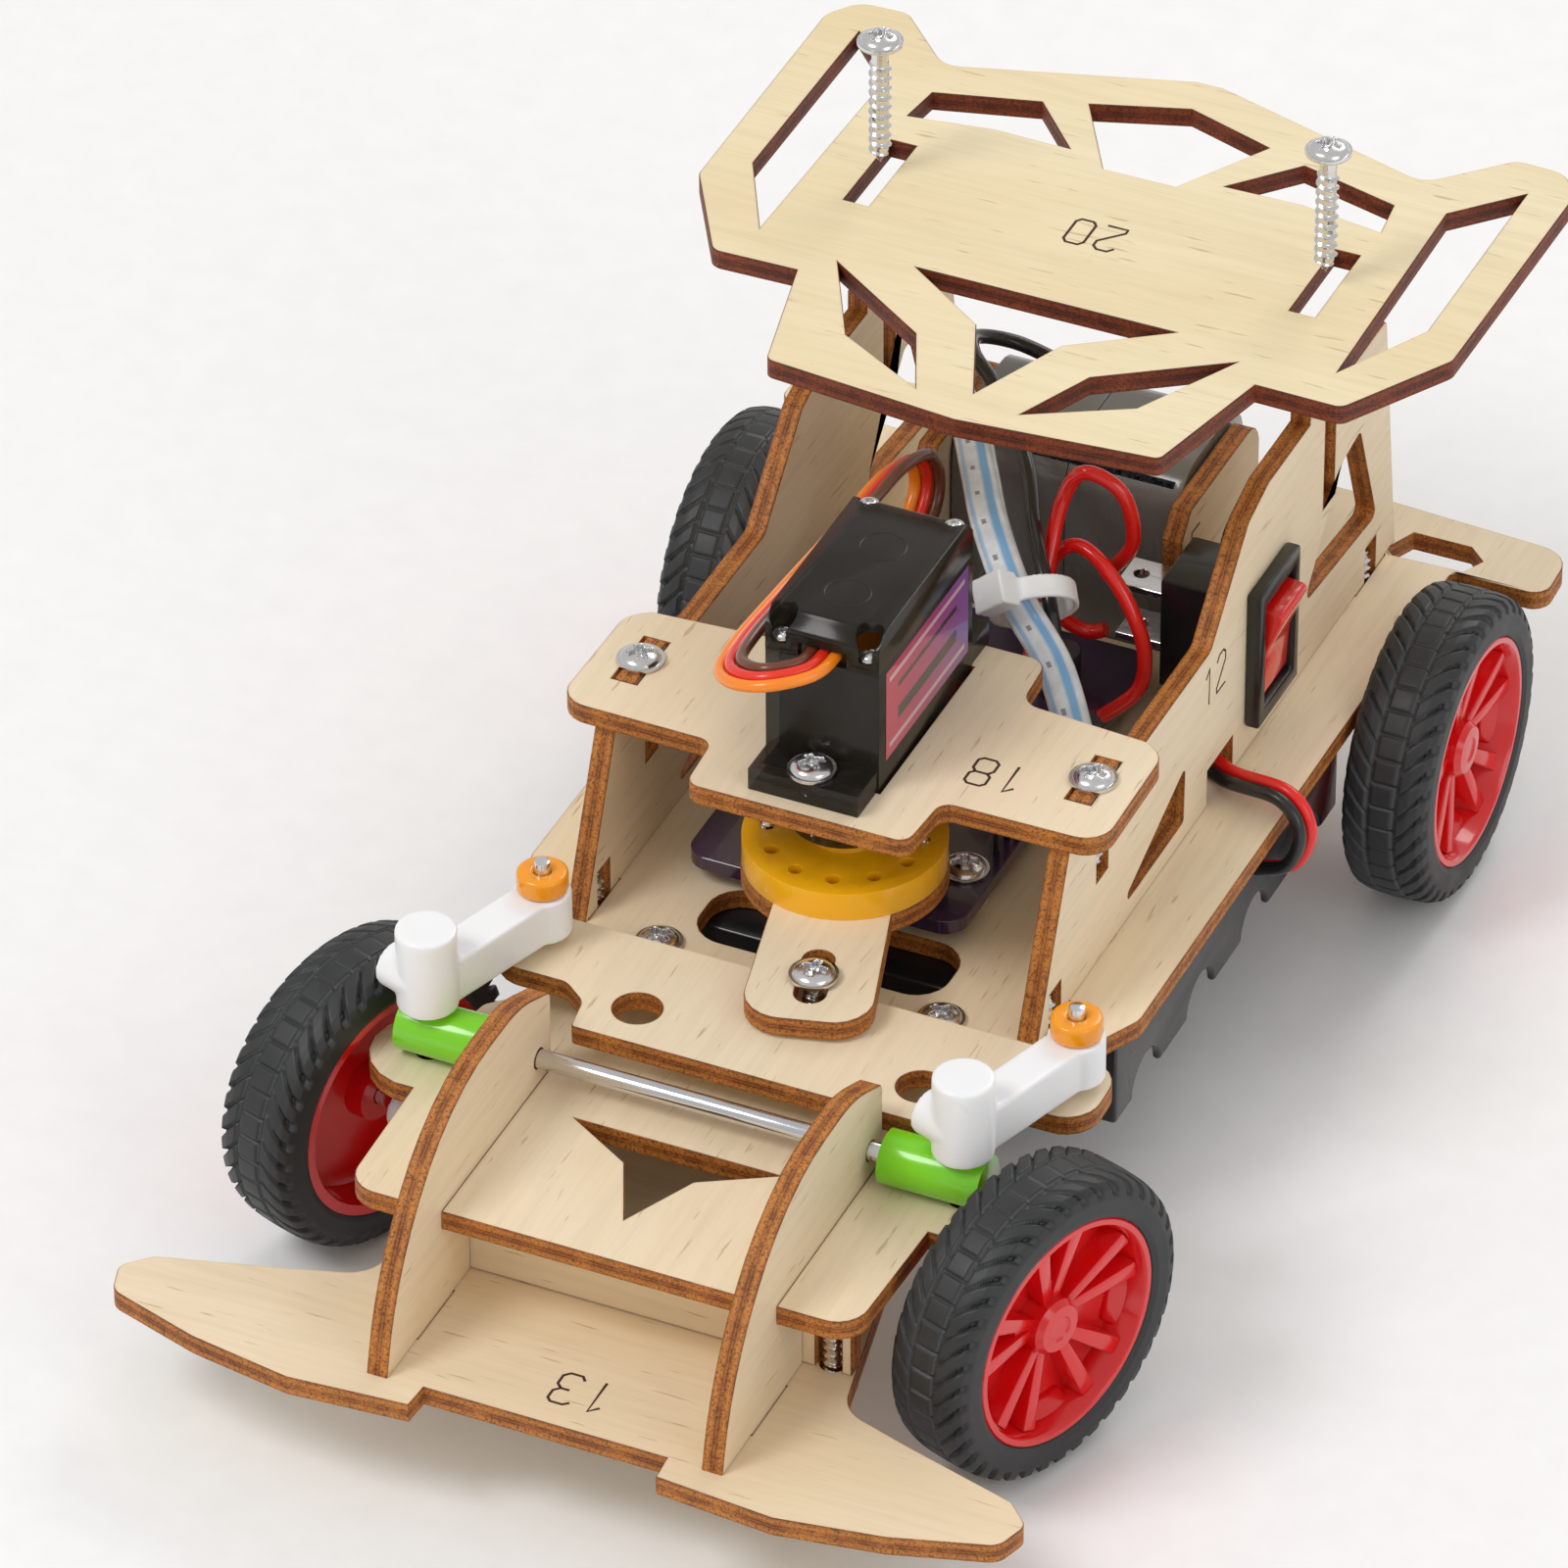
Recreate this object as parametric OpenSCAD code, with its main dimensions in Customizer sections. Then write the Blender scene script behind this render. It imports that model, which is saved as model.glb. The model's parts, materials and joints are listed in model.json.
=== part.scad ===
// Four-wheel robot chassis: a laser-cut plywood car with servo steering,
// a geared rear axle and a lift-off rear wing. Front of the car is -Y, up is +Z.

/* [Plywood] */
// Thickness of every plywood sheet
ply = 2.2; // [2:0.1:2.4]
// Height of the base plate's top face above the ground
base_z = 25.5; // [25:0.5:27]
// Height of the front wing plate's top face
nose_z = 14; // [13:0.5:14.5]
// Height of the servo plate's underside
deck_z = 44.7; // [44:0.1:45]
// Height of the side panels' top edge
panel_top_z = 56; // [55:0.5:57]
// Distance of each side panel's mid-plane from the centre line
panel_x = 24.5; // [24:0.1:25]

/* [Wheels] */
// Tyre diameter
tyre_d = 33; // [32:0.5:33]
// Tyre width
tyre_w = 9.5; // [8.5:0.5:9.5]
// Distance of the front wheels' mid-plane from their kingpin
wheel_offset = 9.3; // [9.2:0.1:10]
// Distance of the rear wheels' mid-plane from the centre line
rear_wheel_x = 38.6; // [38.5:0.1:40]
// Position of the rear axle along the car
rear_axle_y = 57.3; // [57:0.1:58]

/* [Steering] */
// Distance of each kingpin from the centre line
kingpin_x = 28.6; // [28.4:0.1:28.8]
// Length of the knuckles' steering arms
arm_reach = 16.3; // [16:0.1:16.5]
// Angle the front wheels are turned to, at rest
steer_angle = 18.6; // [16:0.1:18.6]

/* [Wing] */
// Lift of the wing above the side panels, at rest
wing_lift = 11.3; // [0.1:0.1:12]
// Height of the wing screws' tips above the wing, at rest
screw_lift = 1; // [0.2:0.1:3]

/* [Hidden] */

front_y = -80.4;
rear_y = 86.4;
mid_y = (front_y + rear_y) / 2;
slot_gap = 0.1;
slot_w = ply + slot_gap;
axle_z = tyre_d / 2;
kingpin_y = -42;
rod_z = base_z + 2.9;
fin_x = 17.75;
bulkhead_y = -57;
tie_shift = arm_reach * sin(steer_angle);
pin_y = kingpin_y + arm_reach * cos(steer_angle);
tie_z = base_z + 2.9;
arm_z = tie_z + ply + 0.4;
horn_thickness = 3.2;
servo_shaft_y = -5.9;
tie_screw_y = pin_y + 1.5;
servo_angle = atan2(tie_shift, servo_shaft_y - tie_screw_y);
deck_top = deck_z + ply;
servo_top = deck_top + 18.4;
wing_z = panel_top_z + wing_lift;
wing_slot_y = 57.6;
deck_slot_y = -1;
foot_front_y = -12.6;
foot_rear_y = 70;
switch_y = 40.9;
switch_z = 37.3;
tooth_size = 0.6;
idler_z = axle_z + (22 + 10) * tooth_size / 2;
motor_z = idler_z + (22 + 8) * tooth_size / 2;
board_z = base_z + 1.9;
board_screws = [[-14.8, 40.5], [9.5, 2.2]];
holder_top = base_z - ply - 0.1;
cell_pitch = 14.1;

wood = [0.93, 0.82, 0.62];
steel = [0.75, 0.76, 0.78];
black = [0.08, 0.08, 0.09];
red = [0.85, 0.06, 0.05];

// ---- outlines -----------------------------------------------------------

function unit(v) = v / norm(v);

// Points of one rounded corner b, between its neighbours a and c
function corner(a, b, c, r, n = 6) =
  r <= 0 ? [b] :
  let (u = unit(a - b), v = unit(c - b))
  let (half = acos(u * v) / 2, reach = r / tan(half), hub = b + unit(u + v) * (r / sin(half)))
  let (p = b + u * reach, q = b + v * reach)
  [for (i = [0 : n]) hub + r * unit((p - hub) * (1 - i / n) + (q - hub) * i / n)];

// An outline given as [x, y, corner radius] turned into plain points
function rounded(pts) = let (n = len(pts))
  [for (i = [0 : n - 1])
    let (a = pts[(i + n - 1) % n], b = pts[i], c = pts[(i + 1) % n])
    for (p = corner([a[0], a[1]], [b[0], b[1]], [c[0], c[1]], b[2])) p];

// A right-hand half outline, mirrored to close the whole shape
function both_sides(half) =
  concat(half, [for (i = [len(half) - 1 : -1 : 0]) if (half[i][0] > 0.01) [-half[i][0], half[i][1], half[i][2]]]);

module car() { translate([0, -mid_y, 0]) children(); }

module flat_sheet(z) { translate([0, 0, z]) linear_extrude(ply) children(); }

// A sheet standing along the car, drawn as [y, z]
module upright_sheet(x) {
  translate([x - ply / 2, 0, 0]) rotate([90, 0, 90]) linear_extrude(ply) children();
}

// A sheet standing across the car, drawn as [x, z]
module cross_sheet(y) {
  translate([0, y + ply / 2, 0]) rotate([90, 0, 0]) linear_extrude(ply) children();
}

module at_both_sides() {
  children();
  mirror([1, 0, 0]) children();
}

module slot(x, y, w, l) { translate([x - w / 2, y - l / 2]) square([w, l]); }

module rod_x(x0, x1, y, z, r, fn = 32) {
  translate([x0, y, z]) rotate([0, 90, 0]) cylinder(r = r, h = x1 - x0, $fn = fn);
}

module block(x0, x1, y0, y1, z0, z1) {
  translate([x0, y0, z0]) cube([x1 - x0, y1 - y0, z1 - z0]);
}

// Pan-head screw, head up, seated on z = 0, with a cross recess
module screw(length, head_r = 2.45, shank_r = 1.1) {
  difference() {
    union() {
      cylinder(r = head_r, h = 0.5, $fn = 32);
      translate([0, 0, 0.5]) cylinder(r1 = head_r * 0.85, r2 = head_r * 0.6, h = 0.8, $fn = 32);
    }
    for (a = [0, 90]) rotate([0, 0, a]) translate([-1.1, -0.22, 0.7]) cube([2.2, 0.44, 1]);
  }
  translate([0, 0, -length + 2]) cylinder(r = shank_r, h = length - 2 + 0.01, $fn = 24);
  translate([0, 0, -length]) cylinder(r1 = 0.2, r2 = shank_r, h = 2.01, $fn = 24);
}

// ---- plywood ------------------------------------------------------------

module base_plate() {
  pad = 6;
  round_pad = [for (a = [-100 : 20 : 100]) [kingpin_x + pad * cos(a), kingpin_y + pad * sin(a), 0]];
  outline = rounded(both_sides(concat([[27, -64.2, 3.2]], round_pad, [[27, -33, 1.5], [24, -30, 3],
    [24, -19.5, 3], [30.5, -14.5, 2], [33.2, -9, 3], [33.2, 73.9, 0.8], [43.6, 73.9, 2],
    [43.3, 82, 3.5], [21, 83.4, 0]])));
  arrow = [[-11, -45.8], [-3.7, -50.1], [0, -58.1], [3.7, -50.1], [11, -45.8]];
  opening = rounded(both_sides([[13.5, -14.5, 3.5], [13.5, -5.5, 3.5]]));
  gearbox_opening = both_sides([[12.7, 48.8, 0], [12.7, 50.95, 0], [15.15, 50.95, 0],
    [15.15, 57.05, 0], [12.7, 57.05, 0], [12.7, 66.4, 0]]);
  hexagon = [[25.4, 75.2], [27, 78.9], [33.4, 78.9], [35.4, 77], [34.2, 74.6], [26.4, 74.3]];
  car() color(wood) flat_sheet(base_z - ply) difference() {
    polygon(outline);
    at_both_sides() slot(fin_x, -52.2, slot_w, 26.2);
    polygon(arrow);
    polygon(opening);
    at_both_sides() polygon(hexagon);
    at_both_sides() translate([kingpin_x, kingpin_y]) circle(r = 1.3, $fn = 32);
    at_both_sides() slot(panel_x, foot_front_y, slot_w, 7.3);
    at_both_sides() slot(panel_x, foot_rear_y, slot_w, 8.1);
    polygon([for (p = gearbox_opening) [p[0], p[1]]]);
    at_both_sides() translate([15.3, -17]) circle(r = 1.3, $fn = 32);
    for (p = board_screws) translate(p) circle(r = 1, $fn = 24);
  }
}

module front_wing_plate() {
  half = [[12.9, -76.4, 0], [13.1, -79.4, 0], [25.7, front_y, 0], [36.7, -78.6, 8],
    [47, -75.4, 2], [48.2, -71.6, 1.5], [45.6, -69, 1.5], [33, -65.4, 4], [25.4, -63, 4],
    [21, -42, 6], [19, -14.6, 3]];
  car() color(wood) flat_sheet(nose_z - ply) difference() {
    polygon(rounded(both_sides(half)));
    at_both_sides() slot(fin_x, -66, slot_w, 8.1);
    at_both_sides() translate([21.6, bulkhead_y]) circle(r = 1.3, $fn = 32);
  }
}

// Curved fin: it stands on the nose plate, passes up through the base plate and holds the axle rod
module nose_fin(x) {
  notch_top = nose_z + 4.7;
  edge = rounded([[-76.7, nose_z, 0], [-74.5, 24, 30], [-62, 37.4, 22], [-46, 37.6, 14],
    [-39.2, 34.6, 1], [-39.2, nose_z, 0], [bulkhead_y + slot_w / 2, nose_z, 0],
    [bulkhead_y + slot_w / 2, notch_top, 0], [bulkhead_y - slot_w / 2, notch_top, 0],
    [bulkhead_y - slot_w / 2, nose_z, 0], [-62, nose_z, 0], [-62, nose_z - ply, 0],
    [-70, nose_z - ply, 0], [-70, nose_z, 0]]);
  car() color(wood) upright_sheet(x) difference() {
    polygon(edge);
    translate([kingpin_y, rod_z]) circle(r = 1.06, $fn = 32);
  }
}
module nose_fins() {
  nose_fin(-fin_x);
  nose_fin(fin_x);
}

// Two cross walls between the nose plate and the base plate
module nose_bulkheads() {
  low = nose_z + 0.05;
  high = base_z - ply - 0.05;
  car() color(wood) {
    cross_sheet(bulkhead_y) difference() {
      translate([-24, low]) square([48, high - low]);
      at_both_sides() translate([fin_x - slot_w / 2, nose_z + 4.6]) square([slot_w, 6]);
      at_both_sides() translate([21.6 - 1.4, low - 1]) square([2.8, 7.5]);
    }
    cross_sheet(-17) difference() {
      translate([-18.5, low]) square([37, high - low]);
      at_both_sides() translate([15.3 - 1.4, low + 2]) square([2.8, 9]);
    }
  }
}

// Outline of a forked tab on an edge; the slit between its prongs takes a screw.
// dir is 1 on an upper edge and -1 on a lower one.
function fork(y, half, edge, tip, deep, dir) = let (slit = 1.45)
  [for (p = [[-half, edge], [-half, tip], [-slit, tip], [-slit, deep], [slit, deep], [slit, tip],
    [half, tip], [half, edge]]) [y + dir * p[0], p[1], 0]];

// Side panel: two forks above, two feet and a notch for the battery lead below
module side_panel(x, has_switch) {
  top = panel_top_z;
  low = base_z - ply;
  sill = base_z + 4.4;
  body = rounded(concat([[-17, base_z, 0], [-9.2, deck_z, 0]],
    fork(deck_slot_y, 3.8, deck_z, deck_top, 35.5, 1),
    [[26.4, deck_z, 1.5], [35.8, top - 1.6, 2], [41, top, 3]],
    fork(wing_slot_y, 5.7, top, top + ply, 43, 1),
    [[72.6, top, 1], [76.9, base_z, 0]],
    fork(foot_rear_y, 4, base_z, low, base_z + 4.2, -1),
    [[32.8, base_z, 0], [32.8, sill, 0], [26.2, sill, 0], [26.2, base_z, 0]],
    fork(foot_front_y, 3.6, base_z, low, base_z + 4.2, -1)));
  rear_window = rounded([[51.6, 34, 0.8], [61.4, 45.4, 0.8], [66, 46.2, 0.8], [71.2, 32.4, 0.8]]);
  front_window = rounded([[3.6, 27.8, 0.5], [20.2, 34.4, 0.5], [20, 27.8, 0.5]]);
  car() color(wood) upright_sheet(x) difference() {
    polygon(body);
    polygon(rear_window);
    polygon(front_window);
    if (has_switch) translate([switch_y - 4.4, switch_z - 6.7]) square([8.8, 13.4]);
  }
}
module side_panel_left() { side_panel(-panel_x, false); }
module side_panel_right() { side_panel(panel_x, true); }

module servo_plate() {
  half = [[11.9, -17.8, 1.5], [12.4, -10.4, 1.5], [29.4, -10.2, 3], [29.2, 5.4, 3], [27, 7, 0],
    [13, 8, 2], [12.6, 15.4, 2]];
  car() color(wood) flat_sheet(deck_z) difference() {
    polygon(rounded(both_sides(half)));
    slot(0, 0, 12.5, 23.1);
    at_both_sides() slot(panel_x, deck_slot_y, 2.8, 7.8);
    for (y = [-13.9, 13.9]) translate([0, y]) circle(r = 1, $fn = 24);
  }
}

module motor_bracket(x) {
  plate = rounded([[44, base_z, 0], [44, 43.4, 0], [46.4, 46, 0], [64.5, 46, 3], [64.5, base_z, 0],
    [57, base_z, 0], [57, base_z - ply, 0], [51, base_z - ply, 0], [51, base_z, 0]]);
  car() color(wood) upright_sheet(x) difference() {
    polygon(plate);
    translate([rear_axle_y, motor_z]) circle(r = 3.2, $fn = 40);
    translate([rear_axle_y - 4.6, motor_z - 1.2]) square([4, 2.4]);
  }
}
module motor_brackets() {
  motor_bracket(-14);
  motor_bracket(14);
}

// Lift-off rear wing with pierced arms
module rear_wing() {
  outline = rounded(both_sides([[0, 20.4, 0], [21.3, 22.4, 1], [25, 38.1, 0], [34.3, 37.9, 1.5],
    [41.4, 50, 2], [41.8, 82.6, 3], [39.4, 86, 3], [34, 86.2, 2], [26.7, 78.6, 3],
    [1.5, rear_y, 0]]));
  arm_window = [[37.2, 80.8], [31.1, 74.2], [31.6, 43.6], [37.1, 54]];
  side_window = [[8.6, 69.6], [14.6, 76.4], [25.6, 73.4], [26.2, 68.4], [17, 69.8]];
  centre_window = [[-10, 78], [0, 81.4], [10, 78], [4, 67.6], [-4, 67.6]];
  front_window = [[-14.2, 43.4], [14.2, 43.4], [4.6, 36.6], [0, 25.4], [-4.6, 36.6]];
  blade_window = [[21.8, 41], [9.5, 32.6], [5.7, 23.9], [15.8, 29.6]];
  car() color(wood) flat_sheet(wing_z) difference() {
    polygon(outline);
    at_both_sides() polygon(arm_window);
    at_both_sides() polygon(side_window);
    at_both_sides() polygon(blade_window);
    polygon(centre_window);
    polygon(front_window);
    at_both_sides() slot(panel_x, wing_slot_y, 2.8, 12);
  }
}

module wing_screw(x) {
  car() color(steel) translate([x, wing_slot_y, wing_z + ply + screw_lift + 14.7]) screw(14.7);
}
module wing_screw_left() { wing_screw(-panel_x); }
module wing_screw_right() { wing_screw(panel_x); }

// ---- screws and rods of the chassis --------------------------------------

module chassis_screws() {
  car() color(steel) {
    at_both_sides() translate([panel_x, deck_slot_y, deck_top]) screw(11);
    translate([0, -13.9, deck_top + 2.5]) screw(8, 2.45, 0.9);
    translate([0, 13.9, deck_top + 2.5]) screw(8, 2.45, 0.9);
    at_both_sides() translate([15.3, -17, base_z]) screw(8);
    at_both_sides() translate([panel_x, foot_front_y, base_z - ply]) mirror([0, 0, 1]) screw(6);
    at_both_sides() translate([panel_x, foot_rear_y, base_z - ply]) mirror([0, 0, 1]) screw(6);
    at_both_sides() translate([21.6, bulkhead_y, nose_z - ply]) mirror([0, 0, 1]) screw(8);
    for (p = board_screws) translate([p[0], p[1], board_z + 1.6]) screw(5.5, 2.1, 0.95);
  }
}

module front_axle_rod() {
  car() color(steel) rod_x(-24.6, 24.6, kingpin_y, rod_z, 1);
}

module axle_sleeves() {
  car() color([0.45, 0.85, 0.05]) at_both_sides() difference() {
    rod_x(20.6, 31.2, kingpin_y, rod_z, 2.8, 40);
    rod_x(20, 24.7, kingpin_y, rod_z, 1.05);
    translate([kingpin_x, kingpin_y, base_z - 1]) cylinder(r = 0.97, h = 9, $fn = 32);
  }
}

// ---- steering servo --------------------------------------------------------

module servo_case_body() {
  inner_w = 10.2;
  car() color([0.16, 0.15, 0.15]) difference() {
    union() {
      block(-6.1, 6.1, -11.4, 11.4, deck_top - 0.6, servo_top - 4.5);
      block(-5.9, 5.9, -16.1, 16.1, deck_top, deck_top + 2.5);
    }
    block(-inner_w / 2, inner_w / 2, -10.4, 10.4, deck_top - 1, servo_top);
    for (y = [-13.9, 13.9]) translate([0, y, deck_top - 1]) cylinder(r = 1, h = 5, $fn = 24);
  }
}

// Lower cover with the round gear boss, passing down through the servo plate
module servo_gear_cover() {
  low = deck_z - 2.1;
  car() color([0.12, 0.12, 0.12]) difference() {
    union() {
      block(-6.1, 6.1, -11.4, 11.4, low, deck_top - 0.65);
      translate([0, servo_shaft_y, low - 4]) cylinder(r = 5.7, h = 4.1, $fn = 48);
      translate([0, servo_shaft_y + 6.4, low - 4]) cylinder(r = 2.6, h = 4.1, $fn = 32);
    }
    translate([0, servo_shaft_y, low - 5]) cylinder(r = 2.1, h = 11, $fn = 32);
  }
}

module servo_end_cover() {
  side = rounded([[-11.4, servo_top - 4.45, 0], [-11.4, servo_top - 1.6, 0.8],
    [-9.9, servo_top, 0.8], [9.9, servo_top, 0.8], [11.4, servo_top - 1.6, 0.8],
    [11.4, servo_top - 4.45, 0]]);
  car() color([0.12, 0.12, 0.12]) difference() {
    translate([-6.1, 0, 0]) rotate([90, 0, 90]) linear_extrude(12.2) polygon(side);
    block(-5.1, 5.1, -10.4, 10.4, servo_top - 5, servo_top - 1.2);
    block(-2.6, 2.6, -13, -9, servo_top - 4.5, servo_top - 2.8);
    for (x = [-4.6, 4.6]) translate([x, -10.2, servo_top - 3.4]) cylinder(r = 1.4, h = 5, $fn = 24);
    for (x = [-4.6, 4.6]) translate([x, 10.2, servo_top - 1]) cylinder(r = 1.1, h = 5, $fn = 24);
  }
}

module servo_motor() {
  car() {
    color([0.75, 0.35, 0.05]) block(-4.6, 4.6, -10, -3.4, deck_top + 1.6, deck_top + 6.4);
    color(steel) translate([0, 3.6, deck_top + 0.5]) cylinder(r = 4.8, h = 11.5, $fn = 48);
  }
}

module servo_case_screws() {
  car() color(steel) {
    for (x = [-4.6, 4.6]) translate([x, -10.2, servo_top - 3.35]) cylinder(r = 1.1, h = 0.7, $fn = 24);
    for (x = [-4.6, 4.6]) translate([x, 10.2, servo_top - 0.95]) cylinder(r = 1, h = 0.7, $fn = 24);
  }
}

module turned_servo() {
  car() translate([0, servo_shaft_y, 0]) rotate([0, 0, servo_angle]) children();
}

module servo_shaft() {
  turned_servo() color([0.85, 0.7, 0.3])
    translate([0, 0, arm_z + 3.4]) cylinder(r = 2.03, h = deck_z - arm_z + 0.4 - 3.4, $fn = 40);
}

// Round yellow horn, open above for the splined shaft
module servo_horn() {
  turned_servo() color([1, 0.75, 0.02]) difference() {
    union() {
      translate([0, 0, arm_z + ply]) cylinder(r = 10.3, h = horn_thickness, $fn = 64);
      translate([0, 0, arm_z + ply + horn_thickness]) cylinder(r = 3.5, h = 1.4, $fn = 40);
    }
    translate([0, 0, arm_z + 3.35]) cylinder(r = 2.05, h = 6, $fn = 40);
    for (i = [0 : 11]) rotate([0, 0, i * 30]) translate([7.8, 0, arm_z])
      cylinder(r = 0.75, h = 6, $fn = 20);
  }
}

// Plywood lever under the horn, slotted for the tie bar's screw
module servo_arm() {
  disc = [for (i = [0 : 50]) let (a = -55 + i * 5.8) [10.4 * cos(a), 10.4 * sin(a), 0]];
  turned_servo() color(wood) translate([0, 0, arm_z]) linear_extrude(ply) difference() {
    polygon(rounded(concat(disc, [[-6.6, -26.6, 4], [6.6, -26.6, 4]])));
    translate([0, -19.5]) square([3.2, 5.4], center = true);
    for (y = [-16.8, -22.2]) translate([0, y]) circle(r = 1.6, $fn = 32);
    for (x = [-7.8, 7.8]) translate([x, 0]) circle(r = 0.75, $fn = 20);
  }
}

// Driven up through the arm and the horn, so that their points stand out on top
module horn_screws() {
  turned_servo() color(steel) for (x = [-7.8, 7.8]) translate([x, 0, arm_z - 1]) {
    cylinder(r = 1.8, h = 1, $fn = 28);
    cylinder(r = 0.74, h = 8.2, $fn = 20);
  }
}

// ---- steering linkage ------------------------------------------------------

module tie_bar() {
  half = [[20, -38.6, 0.5], [20.6, -34.6, 2], [23.4, -32.4, 2], [32.2, -32.4, 3.6], [32, -22.8, 3.6]];
  car() color(wood) translate([tie_shift, 0, tie_z]) linear_extrude(ply) difference() {
    polygon(rounded(both_sides(half)));
    at_both_sides() translate([15.2, -33.4]) circle(r = 2.5, $fn = 40);
    at_both_sides() translate([kingpin_x, pin_y + 0.4]) square([2.6, 0.9], center = true);
    at_both_sides() for (y = [0, 0.85]) translate([kingpin_x, pin_y + y]) circle(r = 1.3, $fn = 32);
    translate([0, tie_screw_y]) circle(r = 1.1, $fn = 32);
  }
}

module tie_bar_screw() {
  car() color(steel) translate([tie_shift, tie_screw_y, arm_z + ply + 0.3]) {
    difference() {
      union() {
        cylinder(r = 2.5, h = 0.5, $fn = 32);
        translate([0, 0, 0.5]) cylinder(r1 = 2.2, r2 = 1.6, h = 0.7, $fn = 32);
      }
      for (a = [20, 110]) rotate([0, 0, a]) translate([-1.1, -0.22, 0.6]) cube([2.2, 0.44, 1]);
    }
    translate([0, 0, -5]) cylinder(r = 1.09, h = 5.01, $fn = 32);
  }
}

module at_kingpin(side) {
  car() translate([side * kingpin_x, kingpin_y, 0]) rotate([0, 0, -steer_angle]) children();
}

// Upper half of a steering knuckle: upright barrel, side boss and rearward arm
module knuckle(side) {
  low = base_z + 6;
  top = low + 9.2;
  at_kingpin(side) color([0.95, 0.95, 0.96]) difference() {
    union() {
      translate([0, 0, low]) cylinder(r = 3.1, h = top - low, $fn = 48);
      rod_x(-4.1, 0, -0.8, low + 3.4, 2.4, 40);
      translate([-2.2, 0, low]) cube([4.4, arm_reach, 5]);
      translate([0, arm_reach, low]) cylinder(r = 2.9, h = 5, $fn = 40);
    }
    translate([0, 0, low - 1]) cylinder(r = 0.95, h = 8, $fn = 32);
    translate([0, arm_reach, low - 1]) cylinder(r = 0.85, h = 8, $fn = 32);
  }
}
module knuckle_left() { knuckle(-1); }
module knuckle_right() { knuckle(1); }

// Lower half of a knuckle, under the base plate, which holds the wheel's stub axle
module axle_carrier(side) {
  top = base_z - ply - 0.4;
  at_kingpin(side) color([0.92, 0.92, 0.93]) difference() {
    union() {
      translate([0, 0, axle_z - 3]) cylinder(r = 2.8, h = top - axle_z + 3, $fn = 40);
      rod_x(min(0, side * 4), max(0, side * 4), 0, axle_z, 2.4, 40);
    }
    translate([0, 0, axle_z + 1.4]) cylinder(r = 0.95, h = 8, $fn = 32);
    rod_x(min(side * 0.4, side * 6), max(side * 0.4, side * 6), 0, axle_z, 1.02);
  }
}
module axle_carrier_left() { axle_carrier(-1); }
module axle_carrier_right() { axle_carrier(1); }

// Kingpin, tie pin and stub axle
module steering_pins(side) {
  low = base_z + 6;
  at_kingpin(side) color(steel) {
    translate([0, 0, axle_z + 1.5]) cylinder(r = 0.9, h = low + 6.9 - axle_z - 1.5, $fn = 32);
    translate([0, arm_reach, tie_z - 0.8]) cylinder(r = 0.8, h = low + 8.4 - tie_z + 0.8, $fn = 32);
    rod_x(min(side * 0.5, side * 12.35), max(side * 0.5, side * 12.35), 0, axle_z, 1);
  }
}
module steering_pins_left() { steering_pins(-1); }
module steering_pins_right() { steering_pins(1); }

module pin_cap(side) {
  at_kingpin(side) color([1, 0.6, 0.02]) difference() {
    translate([0, arm_reach, base_z + 11.05]) cylinder(r = 2.6, h = 2.2, $fn = 40);
    translate([0, arm_reach, base_z + 10]) cylinder(r = 0.83, h = 5, $fn = 32);
  }
}
module pin_cap_left() { pin_cap(-1); }
module pin_cap_right() { pin_cap(1); }

// ---- wheels ----------------------------------------------------------------

rim_r = 12.4;
hub_bore = 1.05;

// Hub lying on its side: z = 0 is the wheel's mid-plane and +z is the outer face
module hub_shape(bore) {
  half_w = tyre_w / 2;
  difference() {
    union() {
      translate([0, 0, -half_w + 0.3]) difference() {
        cylinder(r = rim_r, h = tyre_w - 0.6, $fn = 72);
        translate([0, 0, -1]) cylinder(r = rim_r - 1.1, h = tyre_w + 2, $fn = 72);
      }
      translate([0, 0, 1.2]) difference() {
        cylinder(r = rim_r - 0.5, h = 1.4, $fn = 72);
        for (i = [0 : 4]) rotate([0, 0, i * 72]) {
          linear_extrude(8, center = true) polygon([[-0.7, 4.6], [0.7, 4.6], [1.9, 10.4], [-1.9, 10.4]]);
          rotate([0, 0, 36]) linear_extrude(8, center = true)
            polygon([[-1.1, 4.2], [1.1, 4.2], [3.1, 10.2], [-3.1, 10.2]]);
        }
      }
      translate([0, 0, 0.5]) cylinder(r = rim_r - 0.5, h = 0.8, $fn = 72);
      translate([0, 0, -2.4]) cylinder(r = 3, h = 6, $fn = 40);
    }
    translate([0, 0, -4]) cylinder(r = bore, h = 7.2, $fn = 32);
  }
}

module tyre_shape() {
  half_w = tyre_w / 2;
  r = tyre_d / 2;
  rotate_extrude($fn = 96) polygon([[rim_r + 0.02, -half_w], [14.4, -half_w], [15.6, -half_w + 0.5],
    [r - 0.1, -half_w + 1.8], [r, -half_w + 3.2], [r, half_w - 3.2], [r - 0.1, half_w - 1.8],
    [15.6, half_w - 0.5], [14.4, half_w], [rim_r + 0.02, half_w]]);
}

module facing(side) { rotate([0, side * 90, 0]) children(); }

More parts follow.
